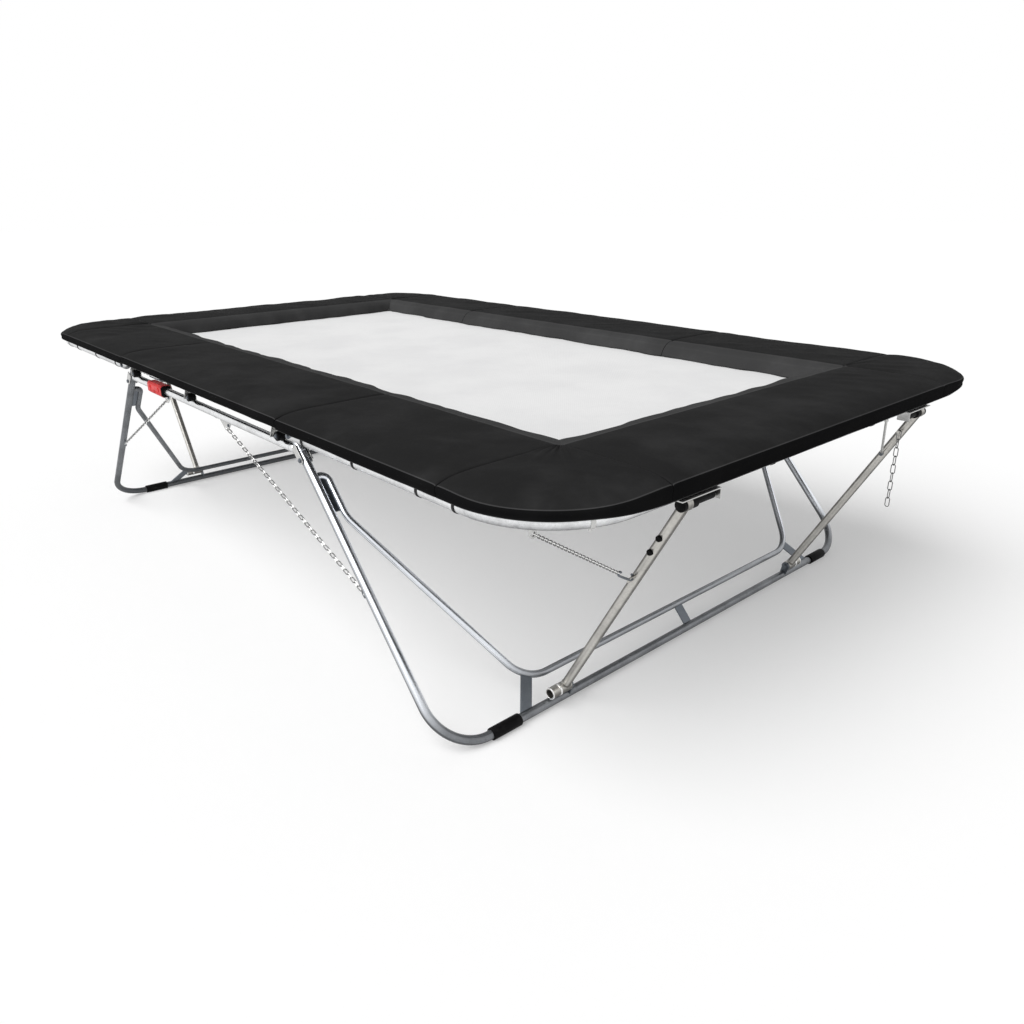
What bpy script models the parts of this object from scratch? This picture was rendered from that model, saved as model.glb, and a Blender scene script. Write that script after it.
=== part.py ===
# Folding gymnastics trampoline, modelled at its real size in metres, +Z up.
# The origin lies on the floor under the middle of the bed. X runs along the long side, Y across it.
# A centre section carries two hinged end frames and two hinged leg frames. Four struts stand on the
# leg frames and hold the ends of the end frames.

import math

import bmesh
import bpy
from mathutils import Matrix, Vector

# Frame
FRAME_LENGTH = 4.58
FRAME_WIDTH = 2.80
FRAME_HEIGHT = 0.995
FRAME_TUBE = 0.048
FRAME_CORNER = 0.32
HINGE_X = 0.93
TUBE_SPACING = 0.002
FRAME_PIN = 0.016
PIN_HEAD = 0.026
PIN_HEAD_THICK = 0.005

# Side rails and what hangs on them
RAIL_TUBE = 0.038
RAIL_DROP = 0.065
RAIL_SHORT = 0.025
HANGER_SHARES = {"left": -0.925, "middle": -0.14, "right": 0.80}
HANGER_TOP = 0.070
HANGER_BOTTOM = 0.036
HANGER_WING = 0.0095
PLATE = 0.005
ROLLER = 0.038
ROLLER_LENGTH = 0.034
ROLLER_OFFSET = 0.066
CLAMP_SHARE = -0.57
CLAMP_LENGTH = 0.23
CLAMP_DEPTH = 0.056
CLAMP_HEIGHT = 0.066
CLAMP_EDGE = 0.008
CLAMP_OUT = 0.005
EYE_SHARES = {"left": 0.484, "right": 0.269}
EYE_PLATE_TOP = 0.13
EYE_PLATE_BOTTOM = 0.030
EYE_PLATE_DROP = 0.042
EYE_HOLE = 0.015
EYE_EDGE = 0.014

# Leg frames
LEG_TUBE = 0.035
LEG_INSET = 0.024
LEG_HINGE_OUT = 0.027
LEG_HINGE_DROP = 0.028
LEG_HEAD = 0.045
LEG_PIN = 0.014
LEG_PIN_HEAD = 0.020
LEG_BEND = 0.19
FOOT_OUT = 0.835
GROUND_GAP = 0.004
CHEEK_LENGTH = 0.078
CHEEK_NOSE = 0.0195
CHEEK_SLOPE = 60.0
INNER_TUBE = 0.028
INNER_TOP = 0.075
INNER_BEND = 0.26
INNER_BEND_RADIUS = 0.12
INNER_GAP = 0.020
INNER_CROSS = 0.110
INNER_CORNER_IN = 0.435
INNER_RADIUS = 0.16
BAR_WIDTH = 0.048
BAR_THICK = 0.006
GUSSET_START = 0.080
GUSSET_LENGTH = 0.15
SLEEVE_OUTER = 0.047
SLEEVE_LENGTH = 0.135
SLEEVE_IN = 0.264
LEG_HOOK = 0.55

# Struts
STRUT_TUBE = 0.042
STRUT_IN = 0.576
STRUT_END = 0.010
PIVOT_OUT = 0.012
PIVOT_RISE = 0.0485
PIVOT_SLEEVE = 0.044
PIVOT_SLEEVE_LENGTH = 0.10
PIVOT_INBOARD = 0.0235
PIVOT_PIN = 0.0226
PIVOT_PIN_SHORT = 0.012
LUG = 0.040
LUG_FOOT = 0.032
LUG_THICK = 0.008
HEAD_ROLLER = 0.036
HEAD_LENGTH = 0.088
HEAD_STUB = 0.028
HEAD_STUB_LENGTH = 0.090
BAND_OUTER = 0.042
BAND_WIDTH = 0.026
BUFFER = 0.022
BUFFER_OUT = 0.009
BUFFER_PLACES = (0.79, 0.84)
BRACKET_THICK = 0.004
BRACKET_WIDTH = 0.050
BRACKET_TAB = 0.038
BRACKET_SPARE = 0.006
STRUT_EYE = 0.66
CORNER_EYE_ANGLE = 52.0

# Chains
CHAIN_WIRE = 0.006
CHAIN_PITCH = 0.048
LINK_SIDE = 0.0088
LINK_BITE = 0.0008
BORE_SIDES = 8
HANGING_LINKS = 8
PEG = 0.008
PEG_LENGTH = 0.034
PEG_KNOB = 0.015
PEG_KNOB_LENGTH = 0.004
PEG_PLACE = 0.90

# Bed and springs
BED_END_GAP = 0.43
BED_SIDE_GAP = 0.44
BED_THICK = 0.006
BED_DROP = 0.006
SPRING = 0.022
SPRING_TAPER = 0.03
SPRING_BITE = 0.006
SPRING_PITCH = 0.138
SPRING_MARGIN = 0.06

# Pads
PAD_OVERHANG = 0.02
PAD_CORNER = 0.36
PAD_END_BAND = 0.47
PAD_SIDE_BAND = 0.50
PAD_SEAM_IN = 0.06
PAD_SIDE = 0.036
PAD_DRAWN_IN = 0.004
PAD_STEP = 0.16
PAD_CROWN = ((0.010, 0.007), (0.030, 0.006), (0.070, 0.004))

# Sides of a round tube, gaps between separate pieces, and how far welded pieces run into each other
TUBE_SIDES = 10
SEAT = 0.0003
RUNNING = 0.0005
SEAM = 0.0004
WELD = 0.003

# Values worked out from the sizes above
FRAME_R = FRAME_TUBE / 2
FRAME_X = FRAME_LENGTH / 2 - FRAME_R
FRAME_Y = FRAME_WIDTH / 2 - FRAME_R
CENTRE_Y = FRAME_Y - FRAME_TUBE - TUBE_SPACING
RAIL_R = RAIL_TUBE / 2
RAIL_HEIGHT = FRAME_HEIGHT - RAIL_DROP
RAIL_END = HINGE_X - RAIL_SHORT
TO_FLAT = math.cos(math.pi / TUBE_SIDES)
FRAME_TOP = FRAME_HEIGHT + FRAME_R * TO_FLAT
FRAME_BOTTOM = FRAME_HEIGHT - FRAME_R * TO_FLAT
RAIL_TOP = RAIL_HEIGHT + RAIL_R * TO_FLAT
RAIL_BOTTOM = RAIL_HEIGHT - RAIL_R * TO_FLAT
LEG_R = LEG_TUBE / 2
INNER_R = INNER_TUBE / 2
LEG_SPREAD = FRAME_Y - LEG_INSET
LEG_HINGE_X = HINGE_X + LEG_HINGE_OUT
LEG_HINGE_Z = RAIL_HEIGHT - LEG_HINGE_DROP
FOOT_X = HINGE_X + FOOT_OUT
FOOT_Z = LEG_R + GROUND_GAP
LEG_ALONG = Vector((FOOT_X - LEG_HINGE_X, 0, FOOT_Z - LEG_HINGE_Z))
LEG_LENGTH = LEG_ALONG.length
LEG_ALONG.normalize()
INNER_CORNER_Y = LEG_SPREAD - INNER_CORNER_IN
SLEEVE_Y = LEG_SPREAD - SLEEVE_IN
STRUT_Y = FRAME_Y - STRUT_IN
PIVOT = Vector((FOOT_X + PIVOT_OUT, 0, FOOT_Z + PIVOT_RISE))
BRACKET_TOP = FRAME_BOTTOM - SEAT
HEAD = Vector((FRAME_X, 0, BRACKET_TOP - BRACKET_THICK - BAND_OUTER / 2 - SEAT))
LUG_Y = STRUT_Y - PIVOT_INBOARD - RUNNING - LUG_THICK / 2
LINK_GRIP = CHAIN_WIRE / 2 - LINK_BITE
WIRE_FLAT = math.sqrt(3)
BED_LENGTH = FRAME_LENGTH - 2 * BED_END_GAP
BED_WIDTH = FRAME_WIDTH - 2 * BED_SIDE_GAP
BED_TOP = FRAME_HEIGHT - BED_DROP
BED_MIDDLE = BED_TOP - BED_THICK / 2
PAD_BOTTOM = FRAME_TOP + SEAT
PAD_LENGTH = FRAME_LENGTH + 2 * PAD_OVERHANG
PAD_WIDTH = FRAME_WIDTH + 2 * PAD_OVERHANG
PAD_INNER_X = PAD_LENGTH / 2 - PAD_END_BAND
PAD_INNER_Y = PAD_WIDTH / 2 - PAD_SIDE_BAND
PAD_SEAM = HINGE_X - PAD_SEAM_IN
SIDES = {"right": 1, "left": -1}
ROWS = {"near": -1, "far": 1}

FINISHES = {
    "galvanised": ((0.62, 0.64, 0.66), 0.28, 1.0),
    "leg_steel": ((0.46, 0.48, 0.50), 0.35, 1.0),
    "strut_steel": ((0.52, 0.51, 0.48), 0.42, 1.0),
    "zinc": ((0.70, 0.70, 0.70), 0.30, 1.0),
    "rubber": ((0.015, 0.015, 0.016), 0.65, 0.0),
    "clamp_red": ((0.60, 0.05, 0.05), 0.40, 0.0),
    "pad": ((0.018, 0.018, 0.018), 0.55, 0.0),
    "bed": ((0.80, 0.80, 0.80), 0.70, 0.0),
}


def material(name, colour, roughness, metallic):
    made = bpy.data.materials.new(name)
    made.use_nodes = True
    shader = made.node_tree.nodes["Principled BSDF"]
    shader.inputs["Base Color"].default_value = (*colour, 1.0)
    shader.inputs["Roughness"].default_value = roughness
    shader.inputs["Metallic"].default_value = metallic
    return made


def add_piece(name, mesh, finish):
    """Puts a mesh in the scene as one named sub-part with its own material."""
    mesh.materials.append(material(name, *FINISHES[finish]))
    mesh.shade_smooth()
    mesh.set_sharp_from_angle(angle=math.radians(35))
    piece = bpy.data.objects.new(name, mesh)
    bpy.context.collection.objects.link(piece)
    return piece


def mesh_from(bm):
    mesh = bpy.data.meshes.new("shape")
    bm.normal_update()
    bmesh.ops.recalc_face_normals(bm, faces=bm.faces[:])
    bm.to_mesh(mesh)
    bm.free()
    return mesh


def boolean(piece, operation, shapes):
    """Fuses shapes that stand clear of each other to a piece, or cuts them out of it."""
    bm = bmesh.new()
    for shape in shapes:
        bm.from_mesh(shape)
        bpy.data.meshes.remove(shape)
    mesh = bpy.data.meshes.new("tool")
    bm.to_mesh(mesh)
    bm.free()
    tool = bpy.data.objects.new(piece.name + "_tool", mesh)
    bpy.context.collection.objects.link(tool)
    tool.hide_render = True
    tool.display_type = "WIRE"
    modifier = piece.modifiers.new(operation.title(), "BOOLEAN")
    modifier.operation = operation
    modifier.solver = "EXACT"
    modifier.object = tool


def fuse(piece, shapes):
    boolean(piece, "UNION", shapes)


def cut(piece, shapes):
    boolean(piece, "DIFFERENCE", shapes)


def curve_mesh(points, factors, radius, resolution):
    """A tube along a list of points, its radius multiplied by one factor at each point."""
    curve = bpy.data.curves.new("path", "CURVE")
    curve.dimensions = "3D"
    curve.bevel_depth = radius
    curve.bevel_resolution = resolution
    curve.use_fill_caps = True
    spline = curve.splines.new("POLY")
    spline.points.add(len(points) - 1)
    for place, point, factor in zip(spline.points, points, factors):
        place.co = (*point, 1.0)
        place.radius = factor
    holder = bpy.data.objects.new("path", curve)
    bpy.context.collection.objects.link(holder)
    bpy.context.view_layer.update()
    evaluated = holder.evaluated_get(bpy.context.evaluated_depsgraph_get())
    mesh = bpy.data.meshes.new_from_object(evaluated)
    bpy.data.objects.remove(holder)
    bpy.data.curves.remove(curve)
    bm = bmesh.new()
    bm.from_mesh(mesh)
    bpy.data.meshes.remove(mesh)
    bmesh.ops.remove_doubles(bm, verts=bm.verts[:], dist=1e-6)
    return mesh_from(bm)


def rounded_path(corners, bends, step=math.radians(18)):
    """A path through corners, each inner corner rounded with its own radius."""
    points = [Vector(corners[0])]
    for before, corner, after, bend in zip(corners, corners[1:], corners[2:], bends):
        corner = Vector(corner)
        back = (Vector(before) - corner).normalized()
        ahead = (Vector(after) - corner).normalized()
        half = back.angle(ahead) / 2
        centre = corner + (back + ahead).normalized() * bend / math.sin(half)
        start = corner + back * bend / math.tan(half) - centre
        end = corner + ahead * bend / math.tan(half) - centre
        turn = start.angle(end)
        axis = start.cross(end).normalized()
        count = max(2, round(turn / step))
        for index in range(count + 1):
            points.append(centre + Matrix.Rotation(turn * index / count, 3, axis) @ start)
    points.append(Vector(corners[-1]))
    return points


def tube(points, diameter, sides=TUBE_SIDES):
    """A round bar along a path, with domed ends and its flats up, down and between."""
    radius = diameter / 2
    dome = [(math.sin(angle), math.cos(angle)) for angle in map(math.radians, (45, 80))]
    head = (points[0] - points[1]).normalized() * radius
    tail = (points[-1] - points[-2]).normalized() * radius
    path = [points[0] + head * out for out, _ in reversed(dome)] + list(points)
    path += [points[-1] + tail * out for out, _ in dome]
    factors = [factor for _, factor in reversed(dome)] + [1.0] * len(points) + [factor for _, factor in dome]
    return curve_mesh(path, factors, radius, sides // 2 - 2)


def cylinder(start, end, diameter, sides=12):
    start, end = Vector(start), Vector(end)
    bm = bmesh.new()
    bmesh.ops.create_cone(bm, cap_ends=True, segments=sides, radius1=diameter / 2,
                          radius2=diameter / 2, depth=(end - start).length)
    turn = Vector((0, 0, 1)).rotation_difference(end - start).to_matrix().to_4x4()
    bm.transform(Matrix.Translation((start + end) / 2) @ turn)
    return mesh_from(bm)


def bore(x, y, z, pin, length, sides=10):
    """A hole along Y whose flats clear a round pin by the running clearance."""
    return across(x, y, z, (pin + 2 * RUNNING) / math.cos(math.pi / sides), length, sides)


def across(x, y, z, diameter, length, sides=12):
    """A cylinder along Y, centred on a point."""
    return cylinder((x, y - length / 2, z), (x, y + length / 2, z), diameter, sides)


def turned(profile, centre, y_sign=1, sides=8):
    """A profile of (distance along Y, radius) turned about an axis along Y through a point."""
    bm = bmesh.new()
    verts = [bm.verts.new((radius, y_sign * along, 0)) for along, radius in profile]
    edges = [bm.edges.new(pair) for pair in zip(verts, verts[1:])]
    bmesh.ops.spin(bm, geom=verts + edges, cent=(0, 0, 0), axis=(0, 1, 0), angle=math.tau, steps=sides,
                   use_duplicate=False)
    bmesh.ops.remove_doubles(bm, verts=bm.verts[:], dist=1e-6)
    bm.transform(Matrix.Translation(centre))
    return mesh_from(bm)


def plate(outline, origin, across_axis, up_axis, thickness):
    """A flat plate: an outline of (across, up) points, thickened evenly about its own plane."""
    across_axis, up_axis = Vector(across_axis).normalized(), Vector(up_axis).normalized()
    normal = across_axis.cross(up_axis)
    base = Vector(origin) - normal * thickness / 2
    bm = bmesh.new()
    face = bm.faces.new([bm.verts.new(base + across_axis * a + up_axis * u) for a, u in outline])
    moved = bmesh.ops.extrude_face_region(bm, geom=[face])
    bmesh.ops.translate(bm, vec=normal * thickness,
                        verts=[v for v in moved["geom"] if isinstance(v, bmesh.types.BMVert)])
    return mesh_from(bm)


def block(low, high, bevel=0.0):
    low, high = Vector(low), Vector(high)
    bm = bmesh.new()
    bmesh.ops.create_cube(bm, size=1.0)
    bm.transform(Matrix.Translation((low + high) / 2) @ Matrix.Diagonal((*(high - low), 1.0)))
    if bevel:
        bmesh.ops.bevel(bm, geom=bm.edges[:], offset=bevel, segments=2, profile=0.5, affect="EDGES")
    return mesh_from(bm)


def arc(radius, start, end, count):
    """Points on a circle about the origin of a plane, angles in degrees."""
    angles = [math.radians(start + (end - start) * i / count) for i in range(count + 1)]
    return [(radius * math.cos(a), radius * math.sin(a)) for a in angles]


# Chains

def link(centre, along, normal, half):
    """A closed chain link of three-sided wire, its flat sides inwards, where links bear on each other."""
    side = normal.cross(along).normalized()
    bm = bmesh.new()
    rings = []
    for a, b in ((1, 1), (-1, 1), (-1, -1), (1, -1)):
        place = centre + along * half * a + side * LINK_SIDE * b
        outward = along * a + side * b
        corners = (outward, (normal * WIRE_FLAT - outward) / 2, (-normal * WIRE_FLAT - outward) / 2)
        rings.append([bm.verts.new(place + corner * CHAIN_WIRE / 2) for corner in corners])
    for ring, following in zip(rings, rings[1:] + rings[:1]):
        for i in range(3):
            j = (i + 1) % 3
            bm.faces.new((ring[i], ring[j], following[j], following[i]))
    return mesh_from(bm)


def add_chain(name, links):
    """A chain whose neighbouring links, turned a quarter, bear on each other."""
    bm = bmesh.new()
    for shape in links[2::2]:
        bm.from_mesh(shape)
    bm.from_mesh(links[0])
    mesh = bpy.data.meshes.new(name)
    bm.to_mesh(mesh)
    bm.free()
    chain = add_piece(name, mesh, "zinc")
    fuse(chain, links[1::2])


def eye_slack(along, axis):
    """How far from the middle of an eye the wire of an end link comes to bear on the rim."""
    rim = EYE_HOLE / 2 * math.cos(math.pi / BORE_SIDES) - SEAT - PLATE / 2 * abs(along.dot(axis))
    return math.sqrt(rim ** 2 - (WIRE_FLAT * CHAIN_WIRE / 4) ** 2) - CHAIN_WIRE / 4


def taut_chain(name, start, start_axis, end, end_axis):
    """Links from one eye to another, turned so that the end links pass through the two holes."""
    along = (end - start).normalized()
    start_axis, end_axis = Vector(start_axis).normalized(), Vector(end_axis).normalized()
    start = start + along * eye_slack(along, start_axis)
    end = end - along * eye_slack(along, end_axis)
    first = along.cross(start_axis).normalized()
    last = along.cross(end_axis).normalized()
    offset = math.atan2(first.cross(last).dot(along), first.dot(last))
    reach = (end - start).length - LINK_GRIP
    nominal = round(reach / CHAIN_PITCH)
    twists = {}
    for count in (nominal, nominal + 1):
        spare = (offset - (count - 1) * math.pi / 2 + math.pi / 2) % math.pi - math.pi / 2
        twists[count] = spare / (count - 1)
    count = min(twists, key=lambda number: abs(twists[number]))
    pitch = reach / count
    half = (pitch + LINK_GRIP) / 2
    links = []
    for index in range(count):
        turn = Matrix.Rotation((math.pi / 2 + twists[count]) * index, 3, along)
        links.append(link(start + along * (half + pitch * index), along, turn @ first, half))
    add_chain(name, links)


# Centre section

def make_centre_tubes():
    """Upper side tubes with the hinge pins that are fixed in their ends and reach through the outer tubes."""
    for row, y in ROWS.items():
        ends = [Vector((x * HINGE_X, y * CENTRE_Y, FRAME_HEIGHT)) for x in (-1, 1)]
        bar = add_piece("centre_tube_" + row, tube(ends, FRAME_TUBE), "galvanised")
        fuse(bar, [frame_hinge_pin((x * HINGE_X, 0, FRAME_HEIGHT), y) for x in SIDES.values()])


def frame_hinge_pin(place, y_sign):
    """Pin across two tubes that lie side by side, with a collar between them and an outer head."""
    inner = CENTRE_Y - FRAME_R
    frame_side = FRAME_Y - FRAME_R - SEAT
    outer = FRAME_Y + FRAME_R + SEAT
    profile = [(inner - PIN_HEAD_THICK, 0.0), (inner - PIN_HEAD_THICK, PIN_HEAD / 2),
               (frame_side, PIN_HEAD / 2), (frame_side, FRAME_PIN / 2), (outer, FRAME_PIN / 2),
               (outer, PIN_HEAD / 2), (outer + PIN_HEAD_THICK, PIN_HEAD / 2), (outer + PIN_HEAD_THICK, 0.0)]
    return turned(profile, place, y_sign)


def eye_place(side, row):
    """Centre of the hole in the eye plate under a rail."""
    x = SIDES[side] * EYE_SHARES[side] * HINGE_X
    return Vector((x, ROWS[row] * LEG_SPREAD, RAIL_BOTTOM - EYE_PLATE_DROP + EYE_EDGE))


def hanger_plate(x, y):
    """Plate that stands on the rail against the side tube, with a wing behind its roller."""
    low = RAIL_TOP - WELD
    wing = ROLLER_OFFSET + HANGER_WING
    outline = [(-HANGER_BOTTOM / 2, low), (wing, low), (wing, RAIL_TOP + ROLLER / 2),
               (HANGER_TOP / 2, FRAME_HEIGHT), (-HANGER_TOP / 2, FRAME_HEIGHT)]
    plate_y = CENTRE_Y + FRAME_R + SEAT + PLATE / 2
    return plate(outline, (x, y * plate_y, 0), (1, 0, 0), (0, 0, 1), PLATE)


def eye_plate(side, row):
    eye = eye_place(side, row)
    top = RAIL_BOTTOM + WELD - eye.z
    outline = [(-EYE_PLATE_BOTTOM / 2, -EYE_EDGE), (EYE_PLATE_BOTTOM / 2, -EYE_EDGE),
               (EYE_PLATE_TOP / 2, top), (-EYE_PLATE_TOP / 2, top)]
    return plate(outline, eye, (1, 0, 0), (0, 0, 1), PLATE)


def fork_plates(side, row):
    """Two plates on the sides of a rail end, which reach out and down to the leg hinge."""
    x = SIDES[side]
    top = RAIL_HEIGHT - LEG_HINGE_Z + CHEEK_NOSE * math.sin(math.radians(CHEEK_SLOPE))
    outline = arc(CHEEK_NOSE, CHEEK_SLOPE - 180, CHEEK_SLOPE, 4)
    outline += [(-CHEEK_LENGTH / 2, top), (-CHEEK_LENGTH, top), (-CHEEK_LENGTH, RAIL_HEIGHT - LEG_HINGE_Z)]
    away = LEG_R + RUNNING + PLATE / 2
    return [plate([(x * a, u) for a, u in outline],
                  (x * LEG_HINGE_X, ROWS[row] * LEG_SPREAD + step * away, LEG_HINGE_Z),
                  (1, 0, 0), (0, 0, 1), PLATE) for step in (-1, 1)]


def leg_hinge_pin(side, row):
    """Pin with two heads, fixed in its fork."""
    reach = LEG_R + RUNNING + PLATE
    half = [(reach + PIN_HEAD_THICK, 0.0), (reach + PIN_HEAD_THICK, LEG_PIN_HEAD / 2),
            (reach - WELD, LEG_PIN_HEAD / 2), (reach - WELD, LEG_PIN / 2)]
    profile = half + [(-along, radius) for along, radius in reversed(half)]
    return turned(profile, (SIDES[side] * LEG_HINGE_X, ROWS[row] * LEG_SPREAD, LEG_HINGE_Z))


def make_rails():
    """Side rails with everything that is welded to them."""
    roller_y = CENTRE_Y + FRAME_R + 2 * SEAT + PLATE + ROLLER_LENGTH / 2
    roller_z = RAIL_TOP + SEAT + ROLLER / 2
    reach = RAIL_END - RAIL_R
    for row, y in ROWS.items():
        ends = [Vector((x * reach, y * LEG_SPREAD, RAIL_HEIGHT)) for x in (-1, 1)]
        rail = add_piece("rail_" + row, tube(ends, RAIL_TUBE), "galvanised")
        fuse(rail, [hanger_plate(share * HINGE_X, y) for share in HANGER_SHARES.values()])
        fuse(rail, [eye_plate(side, row) for side in SIDES])
        cut(rail, [eye_bore(eye_place(side, row), (0, 1, 0)) for side in SIDES])
        fuse(rail, [cheek for side in SIDES for cheek in fork_plates(side, row)])
        fuse(rail, [leg_hinge_pin(side, row) for side in SIDES])
        for place, share in HANGER_SHARES.items():
            x = share * HINGE_X + ROLLER_OFFSET
            add_piece(f"hanger_roller_{row}_{place}",
                      across(x, y * roller_y, roller_z, ROLLER, ROLLER_LENGTH, 14), "rubber")


def make_rail_clamp():
    """Block round the near rail, slotted where the eye plate hangs through it."""
    x, y = CLAMP_SHARE * HINGE_X, -(LEG_SPREAD + CLAMP_OUT)
    low = (x - CLAMP_LENGTH / 2, y - CLAMP_DEPTH / 2, RAIL_HEIGHT - CLAMP_HEIGHT / 2)
    high = (x + CLAMP_LENGTH / 2, y + CLAMP_DEPTH / 2, RAIL_HEIGHT + CLAMP_HEIGHT / 2)
    clamp = add_piece("rail_clamp", block(low, high, CLAMP_EDGE), "clamp_red")
    cut(clamp, [cylinder((-RAIL_END, -LEG_SPREAD, RAIL_HEIGHT), (RAIL_END, -LEG_SPREAD, RAIL_HEIGHT),
                         RAIL_TUBE + 4 * SEAT, 16)])
    eye = eye_place("left", "near")
    half = EYE_PLATE_TOP / 2 + SEAT
    cut(clamp, [block((eye.x - half, eye.y - PLATE / 2 - SEAT, low[2] - CLAMP_EDGE),
                      (eye.x + half, eye.y + PLATE / 2 + SEAT, RAIL_HEIGHT))])


# Bed and springs

def spring(start, end):
    """A steel spring as a plain body that tapers to a hook at each end."""
    along = (end - start).normalized()
    across_axis = Vector((0, 0, 1)).cross(along).normalized()
    corners = [across_axis, along.cross(across_axis), -across_axis, -along.cross(across_axis)]
    bm = bmesh.new()
    near, far = [[bm.verts.new(place + corner * SPRING / 2) for corner in corners]
                 for place in (start + along * SPRING_TAPER, end - along * SPRING_TAPER)]
    tips = bm.verts.new(start), bm.verts.new(end)
    for i in range(4):
        j = (i + 1) % 4
        bm.faces.new((near[i], near[j], far[j], far[i]))
        bm.faces.new((near[j], near[i], tips[0]))
        bm.faces.new((far[i], far[j], tips[1]))
    return mesh_from(bm)


def spread(low, high):
    count = max(2, round((high - low) / SPRING_PITCH) + 1)
    return [low + (high - low) * i / (count - 1) for i in range(count)]


def side_springs(x_places, y, tube_y):
    """Springs from a long side of the bed to a side tube."""
    start = BED_WIDTH / 2 - SPRING_BITE
    end = tube_y - FRAME_R - SEAT
    return [spring(Vector((x, y * start, BED_MIDDLE)), Vector((x, y * end, FRAME_HEIGHT))) for x in x_places]


def make_bed():
    """The woven bed in three stretches, each with the springs that pull on its edge."""
    half_y = BED_WIDTH / 2
    low = BED_TOP - BED_THICK
    reach = HINGE_X - SEAT
    centre = add_piece("bed_centre", block((-reach, -half_y, low), (reach, half_y, BED_TOP)), "bed")
    places = spread(-HINGE_X + SPRING_MARGIN, HINGE_X - SPRING_MARGIN)
    for y in ROWS.values():
        fuse(centre, side_springs(places, y, CENTRE_Y))
    for side, x in SIDES.items():
        near, far = sorted((x * (HINGE_X + SEAT), x * BED_LENGTH / 2))
        end = add_piece("bed_" + side, block((near, -half_y, low), (far, half_y, BED_TOP)), "bed")
        places = [x * along for along in spread(HINGE_X + SPRING_MARGIN, BED_LENGTH / 2 - SPRING_MARGIN)]
        for y in ROWS.values():
            fuse(end, side_springs(places, y, FRAME_Y))
        start = x * (BED_LENGTH / 2 - SPRING_BITE)
        tube_x = x * (FRAME_X - FRAME_R - SEAT)
        fuse(end, [spring(Vector((start, y, BED_MIDDLE)), Vector((tube_x, y, FRAME_HEIGHT)))
                   for y in spread(-half_y + SPRING_MARGIN, half_y - SPRING_MARGIN)])


# Pads

def drawn_edge(start, end, pull):
    """Points along an edge, pulled in between its corners by a shallow curve."""
    start, end = Vector(start), Vector(end)
    inward = Vector((-(end - start).y, (end - start).x)).normalized()
    count = max(1, round((end - start).length / PAD_STEP)) if pull else 1
    shares = [i / count for i in range(count)]
    return [start.lerp(end, share) + inward * pull * 4 * share * (1 - share) for share in shares]


def rectangle(x0, x1, y0, y1):
    """Corners of a rectangle, anticlockwise."""
    x0, x1 = sorted((x0, x1))
    y0, y1 = sorted((y0, y1))
    return [(x0, y0), (x1, y0), (x1, y1), (x0, y1)]


def corner_outline(x, y):
    """A corner pad's outline, its outer corner a wide arc."""
    low_x, low_y = PAD_INNER_X + SEAM, PAD_INNER_Y + SEAM
    high_x, high_y = PAD_LENGTH / 2, PAD_WIDTH / 2
    centre = (high_x - PAD_CORNER, high_y - PAD_CORNER)
    outline = [(low_x, low_y), (high_x, low_y)]
    outline += [(centre[0] + a, centre[1] + u) for a, u in arc(PAD_CORNER, 0, 90, 9)]
    outline += [(low_x, high_y)]
    outline = [Vector((x * a, y * u)) for a, u in outline]
    return outline if x * y > 0 else outline[::-1]


def add_pad(name, outline):
    """A foam pad: a straight side over its outline and a crowned top."""
    bm = bmesh.new()
    face = bm.faces.new([bm.verts.new((p.x, p.y, PAD_BOTTOM)) for p in outline])
    moved = bmesh.ops.extrude_face_region(bm, geom=[face])
    bmesh.ops.translate(bm, vec=(0, 0, PAD_SIDE),
                        verts=[v for v in moved["geom"] if isinstance(v, bmesh.types.BMVert)])
    top = [f for f in moved["geom"] if isinstance(f, bmesh.types.BMFace)][0]
    bm.normal_update()
    bmesh.ops.recalc_face_normals(bm, faces=bm.faces[:])
    for inset, rise in PAD_CROWN:
        bmesh.ops.inset_region(bm, faces=[top], thickness=inset, use_even_offset=True)
        for vert in top.verts:
            vert.co.z += rise
    bmesh.ops.triangulate(bm, faces=[f for f in bm.faces if len(f.verts) > 4])
    add_piece(name, mesh_from(bm), "pad")


def add_straight_pad(name, corners, pulls):
    outline = []
    for index, corner in enumerate(corners):
        outline += drawn_edge(corner, corners[(index + 1) % 4], pulls[index % 2])
    add_pad(name, outline)


def make_pads():
    half_x, half_y = PAD_LENGTH / 2, PAD_WIDTH / 2
    for row, y in ROWS.items():
        long_side = (y * PAD_INNER_Y, y * half_y)
        add_straight_pad("pad_centre_" + row, rectangle(-PAD_SEAM + SEAM, PAD_SEAM - SEAM, *long_side),
                         (PAD_DRAWN_IN, 0))
        for side, x in SIDES.items():
            add_straight_pad(f"pad_side_{row}_{side}",
                             rectangle(x * (PAD_SEAM + SEAM), x * (PAD_INNER_X - SEAM), *long_side),
                             (PAD_DRAWN_IN, 0))
            add_pad(f"pad_corner_{row}_{side}", corner_outline(x, y))
    for side, x in SIDES.items():
        add_straight_pad("pad_end_" + side,
                         rectangle(x * PAD_INNER_X, x * half_x, -PAD_INNER_Y + SEAM, PAD_INNER_Y - SEAM),
                         (0, PAD_DRAWN_IN))


# End frames

def corner_eye(side, row):
    """Centre of the hole in the eye plate under the round frame corner."""
    turn = math.radians(CORNER_EYE_ANGLE)
    x = FRAME_X - FRAME_CORNER + FRAME_CORNER * math.cos(turn)
    y = FRAME_Y - FRAME_CORNER + FRAME_CORNER * math.sin(turn)
    return Vector((SIDES[side] * x, ROWS[row] * y, FRAME_BOTTOM - EYE_EDGE))


def strut_point(side, row, share, out=0.0):
    """Point along a strut's axis, or beside it along Y away from the middle."""
    spot = PIVOT.lerp(HEAD, share)
    return Vector((SIDES[side] * spot.x, ROWS[row] * (STRUT_Y + out), spot.z))


def strut_eye(side, row):
    return strut_point(side, row, STRUT_EYE, STRUT_TUBE / 2 + EYE_EDGE)


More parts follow.
